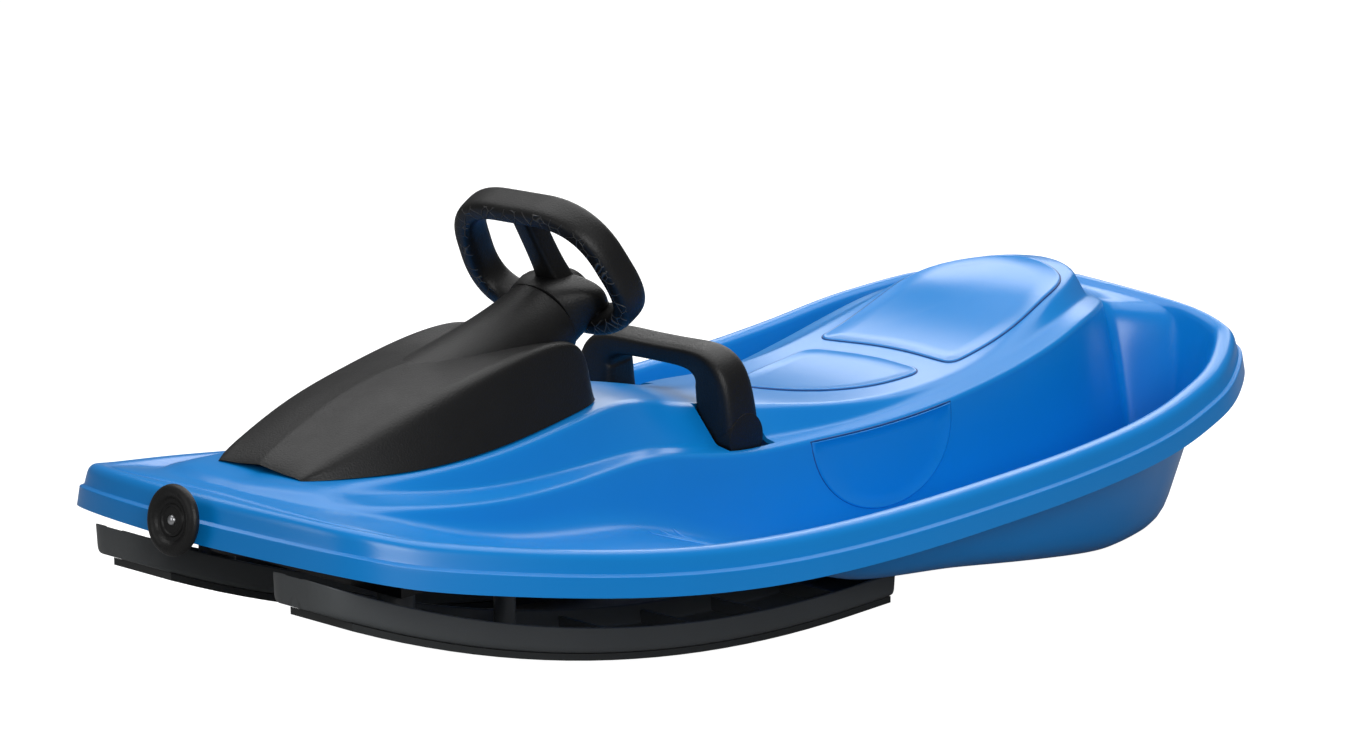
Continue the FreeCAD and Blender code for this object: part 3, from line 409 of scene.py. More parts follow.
def hermite(f: np.ndarray, start: np.ndarray, stop: np.ndarray, leave: np.ndarray, arrive: np.ndarray) -> np.ndarray:
    """Cubic between two points with a slope at each.

    The value is (1+2f)(1-f)^2 start + f^2(3-2f) stop + f(1-f)^2 leave - f^2(1-f) arrive.

    Args:
        f: Share of the way, from nought to one.
        start: Value at nought.
        stop: Value at one.
        leave: Slope at nought.
        arrive: Slope at one.

    Returns:
        Value at each share.
    """
    return ((1 + 2 * f) * (1 - f) ** 2 * start + f * f * (3 - 2 * f) * stop
            + f * (1 - f) ** 2 * leave - f * f * (1 - f) * arrive)


def spline_weights(controls: int, samples: int) -> np.ndarray:
    """Weights of a clamped cubic spline with even knots.

    Each row holds the share of every control point at one sample, by the usual recurrence of basis functions.

    Args:
        controls: Number of control points.
        samples: Number of samples from the first control point to the last.

    Returns:
        Array of samples by controls.
    """
    knots = np.concatenate([[0, 0, 0], np.arange(controls - 2), [controls - 3] * 3]).astype(float)
    u = np.linspace(0, controls - 3, samples)
    u[-1] -= TINY
    basis = ((knots[:-1] <= u[:, None]) & (u[:, None] < knots[1:])).astype(float)
    for degree in (1, 2, 3):
        left, right = knots[:-degree - 1], knots[degree:-1]
        start = np.where(right > left, (u[:, None] - left) / np.where(right > left, right - left, 1), 0)
        left, right = knots[1:-degree], knots[degree + 1:]
        end = np.where(right > left, (right - u[:, None]) / np.where(right > left, right - left, 1), 0)
        basis = start * basis[:, :-1] + end * basis[:, 1:]
    return basis


def round_corners(corners: np.ndarray | Sequence, trims: Sequence[float], arc: int, straight: int,
                  ring: bool = False) -> np.ndarray:
    """Round the corners of many polylines at once.

    Every corner C becomes a quadratic curve (1-t)^2 A + 2t(1-t) C + t^2 B, where A and B lie on the two legs at the
    trim from C, or at a share of a shorter leg that is just under half.

    Args:
        corners: Polylines by corners by coordinates.
        trims: Trim of each corner, nothing at the two ends of an open line.
        arc: Samples of each rounded corner.
        straight: Samples added on each leg.
        ring: Whether the polylines are closed.

    Returns:
        Rounded polylines by points by coordinates.
    """
    corners, trims = np.asarray(corners, float), np.asarray(trims, float)
    before = np.roll(corners, 1, 1) - corners
    after = np.roll(corners, -1, 1) - corners

    def reach(leg: np.ndarray) -> np.ndarray:
        """Point on a leg where the rounding ends."""
        length = np.maximum(np.linalg.norm(leg, axis=-1, keepdims=True), TINY)
        return corners + leg * np.minimum(trims[None, :, None] / length, LEG_SHARE)

    start, end = reach(before), reach(after)
    t = np.linspace(0, 1, arc)[None, None, :, None]
    curve = (1 - t) ** 2 * start[:, :, None] + 2 * t * (1 - t) * corners[:, :, None] + t ** 2 * end[:, :, None]
    f = np.linspace(0, 1, straight + 2)[None, None, 1:-1, None]
    leg = end[:, :, None] * (1 - f) + np.roll(start, -1, 1)[:, :, None] * f
    joined = np.concatenate([curve, leg], 2)
    flat = joined.reshape(len(corners), -1, corners.shape[-1])
    if ring:
        return flat
    return np.concatenate([corners[:, :1], flat[:, arc:-(arc + straight)], corners[:, -1:]], 1)


def superellipse(angle: np.ndarray, power: float) -> tuple[np.ndarray, np.ndarray]:
    """Unit superellipse: each of cosine and sine raised to 2/power with its sign kept."""
    c, s = np.cos(angle), np.sin(angle)
    return np.sign(c) * np.abs(c) ** (2 / power), np.sign(s) * np.abs(s) ** (2 / power)


def sweep(path: np.ndarray, side: np.ndarray | Point, depth: np.ndarray | Point, wide: np.ndarray | float,
          deep: np.ndarray | float, power: float, around: int) -> np.ndarray:
    """Carry a superellipse along a path.

    Each ring is path + wide * c * side + deep * s * depth, where c and s are the superellipse of the angle. One
    vector or one size does for all rings.

    Args:
        path: Points of the path.
        side: Unit vector across each ring.
        depth: Unit vector of each ring's other axis.
        wide: Half size across.
        deep: Half size of the other axis.
        power: Squareness of the ring, two for an ellipse.
        around: Points of each ring.

    Returns:
        Rings by points by three.
    """
    c, s = superellipse(np.linspace(0, 2 * np.pi, around, endpoint=False), power)
    side, depth = np.broadcast_to(side, path.shape), np.broadcast_to(depth, path.shape)
    wide, deep = np.broadcast_to(wide, len(path)), np.broadcast_to(deep, len(path))
    return (path[:, None] + (wide[:, None] * c)[..., None] * side[:, None]
            + (deep[:, None] * s)[..., None] * depth[:, None])


def capped(grid: np.ndarray) -> np.ndarray:
    """Close a tube by drawing its first and last ring to their middles.

    Args:
        grid: Rings by points by three.

    Returns:
        The rings with one more at each end.
    """
    first = np.broadcast_to(grid[0].mean(0), grid[0].shape)
    last = np.broadcast_to(grid[-1].mean(0), grid[-1].shape)
    return np.concatenate([first[None], grid, last[None]])


def normals_2d(line: np.ndarray, ring: bool) -> np.ndarray:
    """Unit normals to the right of a flat line.

    Args:
        line: Points of the line.
        ring: Whether the line is closed.

    Returns:
        One unit vector for each point.
    """
    step = np.roll(line, -1, 0) - np.roll(line, 1, 0) if ring else np.gradient(line, axis=0)
    return unit(np.stack([step[:, 1], -step[:, 0]], 1))


@dataclass
class Deck:
    """The moulded shell: rim and skirt, footwells, seat and the plinth below the cowl.

    A row of offsets holds the place along the sled, the rim's half width and height, the footwell's floor height, the
    distances of the wall's foot and of the ledge from the middle, the ledge's height, the distances of the pad's foot
    and edge from the middle, the height of that edge and the height of the middle line. A point of the rim outline is
    its distance in from the rim and below it.
    """

    offsets: np.ndarray = field(default_factory=lambda: np.array([
        (560, 0, 212, 211, 70, 66, 210, 60, 52, 215, 215),
        (555, 80, 210, 209, 90, 84, 210, 76, 66, 216, 216),
        (539, 148, 205, 204, 118, 108, 208, 96, 82, 215, 216),
        (489, 187, 190, 189, 130, 120, 200, 90, 80, 213, 214),
        (391, 226, 171, 160, 137, 129, 188, 98, 91, 210, 211),
        (300, 242, 155, 145, 131, 122, 181, 97, 90, 212, 214),
        (222, 250, 145, 136, 125, 113, 180, 95, 87, 221, 224),
        (150, 255, 139, 115, 121, 105, 181, 93, 74, 225, 229),
        (80, 258, 136, 88, 121, 100, 166, 80, 52, 205, 213),
        (22, 260, 135, 66, 122, 98, 156, 76, 48, 190, 198),
        (-40, 261, 135, 57, 126, 104, 156, 88, 74, 184, 189),
        (-110, 261, 135.5, 49, 131, 112, 155, 97, 88, 174, 176),
        (-200, 261, 137, 33, 137, 122, 160, 105, 96, 170, 170),
        (-300, 258, 141, 16, 142, 128, 175, 109, 98, 181, 181),
        (-375, 253, 148, 5, 141, 128, 190, 107, 94, 201, 201),
        (-430, 244, 157, 4.5, 137, 122, 199, 101, 87, 217, 218),
        (-480, 236, 167, 4.5, 132, 112, 203, 93, 79, 224, 226),
        (-546, 200, 182, 14, 124, 92, 202, 76, 62, 229, 232),
        (-571, 130, 195, 190, 96, 70, 202, 58, 45, 231, 234),
        (-577, 0, 205, 200, 62, 54, 204, 46, 34, 232, 235)], float))
    rim_outline: tuple[Flat, ...] = ((-18, 35), (-15, 18.9), (-11, 17.15), (-7, 4), (-2, 0), (6, 0), (12, 3))
    well_edge: float = 15.0
    well_lean: float = 0.28
    pad_step: float = 4.0
    bend: float = 350.0
    nose_turn: float = 0.55
    tail_turn: float = 0.60
    blunt_rows: int = 3
    nose_parts: int = 2
    tail_parts: int = 4
    wall: float = 4.0
    trims: tuple[float, ...] = (0, 0.5, 0.6, 4, 3, 3, 5, 26, 20, 5, 4, 6, 0)
    arc: int = 7
    straight: int = 3
    bead: float = 1.3
    bead_up: float = 0.08
    bead_sharp_deg: float = 60.0
    stations: int = 230
    table_reach: float = 255.0
    openings: tuple[tuple[Point, Point], ...] = (
        ((-15, 48, 120), (44, 94, 215)), ((-15, -94, 120), (44, -48, 215)), ((269, -33, 150), (374, 33, 260)))

    def columns(self) -> np.ndarray:
        """Offsets at the control stations, by a cubic that never overshoots the rows.

        The slope at a row is the harmonic mean of the steps on both sides, or nothing where they differ in sign. The
        blunt ends have more stations than rows.

        Returns:
            Control stations by columns.
        """
        rows = len(self.offsets)
        parts = [self.nose_parts if i < self.blunt_rows else self.tail_parts if i >= rows - self.blunt_rows else 1
                 for i in range(rows - 1)]
        at = np.concatenate([i + np.arange(n) / n for i, n in enumerate(parts)] + [[rows - 1]])
        step = np.diff(self.offsets, axis=0)
        product, total = step[:-1] * step[1:], step[:-1] + step[1:]
        inner = np.where(product > 0, 2 * product / np.where(total == 0, 1, total), 0)
        slope = np.pad(inner, ((1, 1), (0, 0)))
        i = np.minimum(at.astype(int), rows - 2)
        return hermite((at - i)[:, None], self.offsets[i], self.offsets[i + 1], slope[i], slope[i + 1])

    def corners(self) -> np.ndarray:
        """Corner lines of the shell from the nose to the tail.

        Each half section lies on the ray from the rim to the middle line, which turns towards the ends of the sled;
        its corners are distances along that ray and heights. The lines between stations are cubic splines.

        Returns:
            Stations by corners by three.
        """
        x, y, rim, floor, foot, ledge, ledge_z, pad_foot, pad, pad_z, mid_z = self.columns().T
        inner = np.where(x > self.bend, self.bend + self.nose_turn * (x - self.bend),
                         np.where(x < -self.bend, -self.bend + self.tail_turn * (x + self.bend), x))
        reach = np.hypot(x - inner, y)
        rim_in, rim_down = np.array(self.rim_outline, float).T
        well = self.well_edge + self.well_lean * (rim - floor)
        along = np.column_stack([np.broadcast_to(rim_in, (len(x), len(rim_in))), well, reach - foot, reach - ledge,
                                 reach - pad_foot, reach - pad, reach])
        up = np.column_stack([rim[:, None] - rim_down, floor, floor, ledge_z, ledge_z + self.pad_step, pad_z, mid_z])
        way = np.stack([(inner - x) / reach, -y / reach], 1)
        net = np.stack([x[:, None] + along * way[:, :1], y[:, None] + along * way[:, 1:], up], -1)
        net[[0, -1], :, 1] = 0
        net[:, -1, 1] = 0
        return np.einsum("sc,cpk->spk", spline_weights(len(net), self.stations), net)

    def rounded(self) -> np.ndarray:
        """Left half of the skin: the corner lines with every section's corners rounded."""
        return round_corners(self.corners(), self.trims, self.arc, self.straight)

    def line_at(self, index: Line, x: np.ndarray) -> tuple[np.ndarray, np.ndarray]:
        """Distance from the middle and height of one corner line.

        Args:
            index: Corner of the section.
            x: Places along the sled.

        Returns:
            Distance and height at each place.
        """
        line = self.corners()[::-1, index]
        return np.interp(x, line[:, 0], line[:, 1]), np.interp(x, line[:, 0], line[:, 2])

    def height(self, x: np.ndarray, y: np.ndarray) -> np.ndarray:
        """Height of the hump's top: a parabola from the middle line to the edge of the pad.

        Args:
            x: Places along the sled.
            y: Distances from the middle line.

        Returns:
            Height at each place.
        """
        edge, edge_z = self.line_at(Line.PAD, x)
        middle_z = self.line_at(Line.MIDDLE, x)[1]
        return middle_z + (edge_z - middle_z) * np.clip(np.abs(y) / edge, 0, 1) ** 2

    def surface(self, x: np.ndarray, y: np.ndarray) -> np.ndarray:
        """Height of the skin in the middle of the sled, where the sections stand square to its length.

        Args:
            x: Places along the sled.
            y: Distances to the left of the middle line.

        Returns:
            Height at each place, between the four nearest points of a table with a step of one millimetre.
        """
        grid = self.rounded()[::-1]
        steps = np.arange(0.0, self.table_reach)
        table = np.stack([np.interp(steps, row[::-1, 1], row[::-1, 2]) for row in grid])
        at = np.interp(x, grid[:, -1, 0], np.arange(len(grid)))
        i, j = at.astype(int), y.astype(int)
        f, g = at - i, y - j
        back = table[i, j] * (1 - g) + table[i, j + 1] * g
        front = table[i + 1, j] * (1 - g) + table[i + 1, j + 1] * g
        return back * (1 - f) + front * f

    def wall_point(self, x: np.ndarray, down: np.ndarray, lift: np.ndarray) -> np.ndarray:
        """Points on the wall between the ledge and the footwell.

        Args:
            x: Places along the sled.
            down: Distances down the wall from the ledge.
            lift: Distances off the wall.

        Returns:
            Points with a last axis of three.
        """
        ledge = np.stack(self.line_at(Line.LEDGE, x), -1)
        way = unit(np.stack(self.line_at(Line.WELL, x), -1) - ledge)
        away = np.stack([-way[..., 1], way[..., 0]], -1)
        spot = ledge + way * down[..., None] + away * np.broadcast_to(lift, x.shape)[..., None]
        return np.concatenate([x[..., None], spot], -1)

    def edge_bead(self) -> np.ndarray:
        """A fine round bead along the lower edge of the left half of the skirt, just inside it.

        Returns:
            Rings by points by three.
        """
        lines = self.corners()
        line = lines[:, Line.SKIRT] + (lines[:, Line.STEP] - lines[:, Line.SKIRT]) * self.bead_up
        way = unit(np.gradient(line, axis=0))
        side = unit(np.cross(way, AXIS_Z))
        inward = side * np.sign(-np.sum(side[:, :2] * line[:, :2], 1, keepdims=True)) * self.bead
        return sweep(line + inward, side, np.cross(side, way), self.bead, self.bead, 2.0, 12)

    def build(self, paint: Paint) -> bpy.types.Object:
        """Make the shell with its wall and the openings for the brake and the column, and the skirt's bead.

        Args:
            paint: Finishes.

        Returns:
            The shell.
        """
        shell = Skin().add(self.rounded()).mirrored().mesh("deck_moulding")
        wall = shell.modifiers.new("wall", "SOLIDIFY")
        wall.thickness = self.wall * MM
        wall.offset = -1.0
        wall.use_even_offset = True
        self.cut(shell)
        paint.on_piece(shell, Slot.BLUE)
        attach(shell, Body.DECK.value)
        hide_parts("deck_shell")
        edge = Skin().add(self.edge_bead(), ring_columns=True).mirrored().mesh("skirt_bead", self.bead_sharp_deg)
        paint.on_piece(edge, Slot.BLUE)
        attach(edge, Body.DECK.value)
        return shell

    def cut(self, shell: bpy.types.Object) -> None:
        """Open the slots for the brake legs and the window for the column, and keep the result as the mesh.

        Args:
            shell: The shell with its wall still a modifier.
        """
        work = bmesh.new()
        for low, high in np.array(self.openings, float):
            span, centre = (high - low) * MM, (high + low) / 2 * MM
            matrix = Matrix.Translation(Vector(centre)) @ Matrix.Diagonal(Vector((*span, 1)))
            bmesh.ops.create_cube(work, size=1.0, matrix=matrix)
        data = bpy.data.meshes.new("cutters")
        work.to_mesh(data)
        work.free()
        cutter = bpy.data.objects.new("cutters", data)
        bpy.context.scene.collection.objects.link(cutter)
        opening = shell.modifiers.new("openings", "BOOLEAN")
        opening.object = cutter
        opening.operation = "DIFFERENCE"
        opening.solver = "EXACT"
        bpy.context.view_layer.update()
        view = shell.evaluated_get(bpy.context.evaluated_depsgraph_get())
        final = bpy.data.meshes.new_from_object(view)
        shell.modifiers.clear()
        shell.data = final
        bpy.data.objects.remove(cutter)
        shade(final, CRISP_DEG)


@dataclass
class Cowl:
    """The black cowl on the plinth and the hood that carries the column up to the wheel.

    A row holds the place along the sled, the half widths of the foot and the crease, the height of the crease above
    the plinth, and the half width and height of the ridge. A point of the lip is its change of radius and its
    distance beyond the end of the hood.
    """

    deck: Deck
    rows: np.ndarray = field(default_factory=lambda: np.array([
        (495, 48, 45, 1.5, 24, 2.5), (488, 56, 52, 7, 27, 9), (450, 72, 61, 20, 34, 28), (400, 84, 65, 39, 34, 50),
        (340, 85, 66, 53, 32, 61), (280, 82, 66, 63, 30, 60), (225, 76, 64, 64, 30, 54), (190, 69, 60, 55, 30, 48),
        (178, 63, 56, 36, 28, 34), (172, 57, 50, 2, 26, 3)], float))
    seat_gap: float = 0.8
    crown: float = 3.0
    trims: tuple[float, ...] = (0, 9, 26, 0)
    root: Point = (385, 0, 221)
    end: Point = (176, 0, 285)
    leave: Point = (-170, 0, 42)
    arrive: Point = (-129.9, 0, 75)
    root_radius: float = 42.0
    end_radius: float = 36.0
    lip: tuple[Flat, ...] = ((0.0, 0.6), (-0.4, 1.1), (-1.2, 1.4), (-2.5, 1.4), (-22, 1.4))
    sharp_deg: float = 38.0

    def shell(self) -> np.ndarray:
        """Half of the cowl, from the foot over the crease and the ridge to the middle, as splines along the sled.

        Returns:
            Stations by points by three.
        """
        x, foot, crease, crease_up, ridge, ridge_up = self.rows.T
        base = self.deck.height(x, foot) + self.seat_gap
        y = np.stack([foot, crease, ridge, np.zeros_like(x)], 1)
        z = np.stack([base, base + crease_up, base + ridge_up, base + ridge_up + self.crown], 1)
        net = np.stack([np.repeat(x[:, None], 4, 1), y, z], -1)
        lines = np.einsum("sc,cpk->spk", spline_weights(len(net), 120), net)
        return round_corners(lines, self.trims, 10, 6)

    def hood(self) -> np.ndarray:
        """The hood as rings along a cubic from the plinth to the wheel, closed by a flat lip round the shaft.

        Returns:
            Rings by points by three.
        """
        t = np.linspace(0, 1, 50)
        path = hermite(t[:, None], *np.array((self.root, self.end, self.leave, self.arrive), float))
        way = np.gradient(path, axis=0)
        way[-1] = self.arrive
        way = unit(way)
        radius = self.root_radius + (self.end_radius - self.root_radius) * t
        grow, beyond = np.array(self.lip).T
        path = np.concatenate([path, path[-1] + beyond[:, None] * way[-1]])
        way = np.concatenate([way, np.repeat(way[-1:], len(beyond), 0)])
        radius = np.concatenate([radius, self.end_radius + grow])
        return sweep(path, AXIS_Y, np.cross(way, AXIS_Y), radius, radius, 2.0, 72)

    def build(self, paint: Paint) -> bpy.types.Object:
        """Make the cowl.

        Args:
            paint: Finishes.

        Returns:
            The cowl.
        """
        skin = Skin().add(self.shell()).mirrored().add(self.hood(), ring_columns=True)
        piece = skin.mesh("cowl_moulding", self.sharp_deg)
        paint.on_piece(piece, Slot.BLACK)
        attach(piece, Body.DECK.value)
        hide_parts("cowl")
        return piece


@dataclass
class Wheel:
    """The yoke wheel: a closed grip ring, a middle spoke and the hub block, in the frame of the steering column.

    Its own axes are across, up the wheel and down the column. A row of the hub is its distance down the column and
    its half width and half height.
    """

    hub: Point = (150, 0, 300)
    rake: float = 30.0
    corners: tuple[Flat, ...] = ((-50, -18), (50, -18), (88, 8), (71, 96), (-71, 96), (-88, 8))
    trims: tuple[float, ...] = (24, 24, 32, 48, 48, 32)
    half_band: float = 9.5
    half_depth: float = 15.0
    spoke_run: Flat = (-16, 94)
    spoke_half: float = 10.5
    spoke_back: float = 1.0
    flare_from: float = -4.0
    flare_fade: float = 13.0
    flare_wide: float = 34.0
    flare_deep: float = 3.0
    hub_rows: tuple[Point, ...] = ((-9, 44, 18), (-6, 46, 20), (0, 47, 22), (8, 43, 26), (16, 37, 30), (24, 33.5, 33),
                                   (27, 33, 33), (27.8, 32, 32))
    hub_up: float = 2.0

    def to_sled(self, local: np.ndarray) -> np.ndarray:
        """Turn points given across, up and down the column into the sled's frame.

        Args:
            local: Points on the wheel's own axes.

        Returns:
            The points in the sled's frame.
        """
        c, s = math.cos(math.radians(self.rake)), math.sin(math.radians(self.rake))
        axes = np.array([(0, 1, 0), (s, 0, c), (c, 0, -s)])
        return local @ axes + np.array(self.hub)

    def ring(self) -> np.ndarray:
        """The grip ring, deeper than it is wide: a squarish ring carried round the rounded outline.

        Returns:
            Rings by points by three.
        """
        line = round_corners([self.corners], self.trims, 18, 8, ring=True)[0]
        side = np.pad(normals_2d(line, True), ((0, 0), (0, 1)))
        path = np.pad(line, ((0, 0), (0, 1)))
        return sweep(path, side, AXIS_Z, self.half_band, self.half_depth, 3.2, 44)

    def spoke(self) -> np.ndarray:
        """The spoke as rings up the wheel, flared at its foot by a falling exponential.

        Returns:
            Rings by points by three.
        """
        up = np.linspace(*self.spoke_run, 60)
        foot = np.exp(-np.maximum(up - self.flare_from, 0) / self.flare_fade)
        path = np.stack([up * 0, up, up * 0 - self.spoke_back], 1)
        wide, deep = self.spoke_half + self.flare_wide * foot, self.spoke_half + self.flare_deep * foot
        return capped(sweep(path, AXIS_X, AXIS_Z, wide, deep, 4.0, 44))

    def hub_block(self) -> np.ndarray:
        """The hub block as rings down the column, round at the hood and wide at the grip ring.

        Returns:
            Rings by points by three.
        """
        down, wide, high = np.array(self.hub_rows, float).T
        path = np.stack([down * 0, down * 0 + self.hub_up, down], 1)
        return capped(sweep(path, AXIS_X, AXIS_Y, wide, high, 2.5, 64))

    def build(self, paint: Paint) -> bpy.types.Object:
        """Make the hub block and the wheel.

        Args:
            paint: Finishes.

        Returns:
            The wheel.
        """
        block = Skin().add(self.to_sled(self.hub_block()), ring_columns=True).mesh("wheel_hub_block")
        paint.on_piece(block, Slot.BLACK)
        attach(block, Body.STEERING.value)
        skin = Skin().add(self.to_sled(self.ring()), ring_rows=True, ring_columns=True)
        skin.add(self.to_sled(self.spoke()), ring_columns=True)
        piece = skin.mesh("wheel_moulding")
        paint.on_piece(piece, Slot.BLACK)
        piece.data.materials[0] = paint.crackled
        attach(piece, Body.STEERING.value)
        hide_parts("steering_wheel")
        return piece


@dataclass
class Brake:
    """The brake lever: an arch on two barrels, leaning a little to the nose.

    A control of the arch is its distance from the middle, its height above the axle, and the half width and half
    depth of the bar. A row of a barrel is its place on the axle and its radius.
    """

    axle: Point = (20, 0, 168)
    lean: float = 6.0
    controls: np.ndarray = field(default_factory=lambda: np.array([
        (71, -8, 21, 22), (71, 10, 21, 21.5), (70.5, 44, 20.5, 20), (63, 60, 17, 18), (47, 68, 10, 16.5),
        (20, 68, 9, 16), (0, 68, 9, 16)], float))
    barrel_rows: tuple[Flat, ...] = ((50, 20), (50.4, 21.4), (52, 22), (90, 22), (91.6, 21.4), (92, 20))

    def to_sled(self, local: np.ndarray) -> np.ndarray:
        """Lean points about the axle and carry them there."""
        c, s = math.cos(math.radians(self.lean)), math.sin(math.radians(self.lean))
        return local @ np.array([(c, 0, -s), (0, 1, 0), (s, 0, c)]) + np.array(self.axle)

    def arch(self) -> np.ndarray:
        """The arch as rings along a spline from one barrel to the other.

        Returns:
            Rings by points by three.
        """
        far = self.controls[-2::-1] * np.array((-1, 1, 1, 1))
        net = np.concatenate([self.controls, far])
        y, z, wide, deep = (spline_weights(len(net), 150) @ net).T
        across = np.pad(normals_2d(np.stack([y, z], 1), False), ((0, 0), (1, 0)))
        return capped(sweep(np.stack([y * 0, y, z], 1), across, AXIS_X, wide, deep, 4.5, 44))

    def barrel(self, sign: int) -> np.ndarray:
        """One barrel as rings along the axle with eased ends.

        Args:
            sign: One for the left barrel, minus one for the right.

        Returns:
            Rings by points by three.
        """
        y, radius = np.array(self.barrel_rows).T
        path = np.stack([y * 0, y * sign, y * 0], 1)
        return capped(sweep(path, AXIS_X, AXIS_Z, radius, radius, 2.0, 48))

    def build(self, paint: Paint) -> bpy.types.Object:
        """Make the lever.

        Args:
            paint: Finishes.

        Returns:
            The lever.
        """
        skin = Skin().add(self.to_sled(self.arch()), ring_columns=True)
        for sign in (1, -1):
            skin.add(self.to_sled(self.barrel(sign)), ring_columns=True)
        piece = skin.mesh("brake_moulding")
        paint.on_piece(piece, Slot.BLACK)
        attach(piece, Body.BRAKE.value)
        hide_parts("brake_handle")
        return piece


@dataclass
class Panels:
    """Inset panels moulded on the seat and on both sides of the hump, and the ribs of the foot rests.

    A step of a plate's edge is its distance in from the outline and its lift. A ring of a side panel is its scale and
    its lift. The turn of a rib is its middle angle and half its span.
    """

    deck: Deck
    steps: tuple[Flat, ...] = ((0.0, -1.5), (0.4, 0.9), (1.4, 1.6), (2.8, 1.5), (4.6, 0.7))
    filling: tuple[float, ...] = (0.8, 0.6, 0.4, 0.2, 0.0)
    leaf: tuple[Flat, ...] = ((-69, 0), (-112, 36), (-180, 62), (-250, 70), (-262, 0), (-250, -70), (-180, -62),
                              (-112, -36))
    leaf_trims: tuple[float, ...] = (10, 40, 40, 20, 60, 20, 40, 40)
    rear: tuple[Flat, ...] = ((-276, 80), (-380, 86), (-458, 72), (-488, 34), (-488, -34), (-458, -72), (-380, -86),
                              (-276, -80), (-288, 0))
    rear_trims: tuple[float, ...] = (14, 50, 50, 40, 40, 50, 50, 14, 60)
    flank_at: float = -135.0
    flank_down: float = 3.0
    flank_half: float = 86.0
    flank_deep: float = 72.0
    flank_fullness: float = 0.8
    flank_middle: Flat = (0, -28)
    flank_rings: tuple[Flat, ...] = ((1.0, -1.5), (0.995, 0.5), (0.982, 1.0), (0.965, 1.0), (0.94, 0.4), (0.7, 0.4),
                                     (0.4, 0.4), (0.0, 0.4))
    joint_radius: float = 0.9
    joint_lean: Point = (0.0, 0.3, 1.0)
    flank_joint: Point = (0, 0.8, 0.8)
    plate_joint: Point = (0, 0, 1.5)
    rib_centre: Flat = (62, 104)
    rib_reaches: tuple[float, ...] = (90, 111, 132)
    rib_turn: Flat = (40, 27)
    rib_lift: float = 0.3
    rib_half: Flat = (2.6, 1.5)
    panel_sharp_deg: float = 50.0
    joint_sharp_deg: float = 60.0

    def plate(self, corners: tuple[Flat, ...], trims: tuple[float, ...]) -> np.ndarray:
        """A panel as rings from its outline to its middle, at the seat's height plus the lift of each ring.

        Args:
            corners: Corners of the outline in plan.
            trims: Rounding of each corner.

        Returns:
            Rings by points by three.
        """
        line = round_corners([corners], trims, 10, 6, ring=True)[0]
        middle = line.mean(0)
        away = normals_2d(line, True)
        away *= np.sign(np.sum((line - middle) * away))
        insets, lifts = np.array(self.steps).T
        edge = line - away * insets[:, None, None]
        inside = middle + (edge[-1] - middle) * np.array(self.filling)[:, None, None]
        flat = np.concatenate([edge, inside])
        lifts = np.pad(lifts, (0, len(self.filling)), mode="edge")
        height = self.deck.height(flat[..., 0], flat[..., 1]) + lifts[:, None]
        return np.concatenate([flat, height[..., None]], -1)

    def flank(self) -> np.ndarray:
        """The half-round panel on the left wall of the hump, as rings in distance along the wall and down it.

        The outline is a straight top edge and half an ellipse below it, a little fuller than a true one.

        Returns:
            Rings by points by three.
        """
        angle = np.linspace(0, np.pi, 40)
        low = np.stack([-self.flank_half * np.cos(angle), -self.flank_deep * np.sin(angle) ** self.flank_fullness], 1)
        top = np.linspace(self.flank_half, -self.flank_half, 24)[1:-1]
        line = np.concatenate([low, np.stack([top, top * 0], 1)])
        scale, lifts = np.array(self.flank_rings).T
        flat = self.flank_middle + (line - self.flank_middle) * scale[:, None, None]
        return self.deck.wall_point(flat[..., 0] + self.flank_at, self.flank_down - flat[..., 1], lifts[:, None])

    def joint(self, line: np.ndarray) -> np.ndarray:
        """A thin round line that marks a panel's joint.

        Args:
            line: Closed line of points.

        Returns:
            Rings by points by three.
        """
        way = unit(np.roll(line, -1, 0) - np.roll(line, 1, 0))
        side = unit(np.cross(way, self.joint_lean))
        return sweep(line, side, np.cross(side, way), self.joint_radius, self.joint_radius, 2.0, 8)

    def rib(self, reach: float) -> np.ndarray:
        """One curved rib of the left foot rest: an arc about a point beside the hump, laid on the skin.

        Its ends taper by the root of one minus the sixth power of the share of the half span.

        Args:
            reach: Radius of the arc.

        Returns:
            Rings by points by three.
        """
        t = np.linspace(-1, 1, 60)
        turn = np.radians(self.rib_turn[0] + self.rib_turn[1] * t)
        x, y = self.rib_centre[0] + reach * np.cos(turn), self.rib_centre[1] + reach * np.sin(turn)
        path = np.stack([x, y, self.deck.surface(x, y) + self.rib_lift], 1)
        way = unit(np.gradient(path, axis=0))
        side = unit(np.cross(way, AXIS_Z))
        taper = np.sqrt(np.maximum(1 - t ** 6, 0.02))
        wide, high = self.rib_half
        return capped(sweep(path, side, np.cross(side, way), wide * taper, high * taper, 2.2, 16))

    def build(self, paint: Paint) -> bpy.types.Object:
        """Make the panels and ribs as one piece of the shell, and the lines of the panels' joints in a dark blue of
        painted groove shade.

        Args:
            paint: Finishes.

        Returns:
            The panels.
        """
        flank = self.flank()
        leaf = self.plate(self.leaf, self.leaf_trims)
        rear = self.plate(self.rear, self.rear_trims)
        both = Skin().add(flank, ring_columns=True)
        for reach in self.rib_reaches:
            both.add(self.rib(reach), ring_columns=True)
        skin = both.mirrored().add(leaf, ring_columns=True).add(rear, ring_columns=True)
        piece = skin.mesh("seat_panels", self.panel_sharp_deg)
        paint.on_piece(piece, Slot.BLUE)
        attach(piece, Body.DECK.value)
        lines = Skin().add(self.joint(flank[0] + self.flank_joint), ring_rows=True, ring_columns=True).mirrored()
        for plate in (leaf, rear):
            lines.add(self.joint(plate[0] + self.plate_joint), ring_rows=True, ring_columns=True)
        joints = lines.mesh("panel_joint_shade_lines", self.joint_sharp_deg)
        paint.on_piece(joints, Slot.BLUE)
        # The joint lines wear a dark blue that is painted groove shade.
        joints.data.materials[0] = paint.groove_shade
        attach(joints, Body.DECK.value)
        return piece


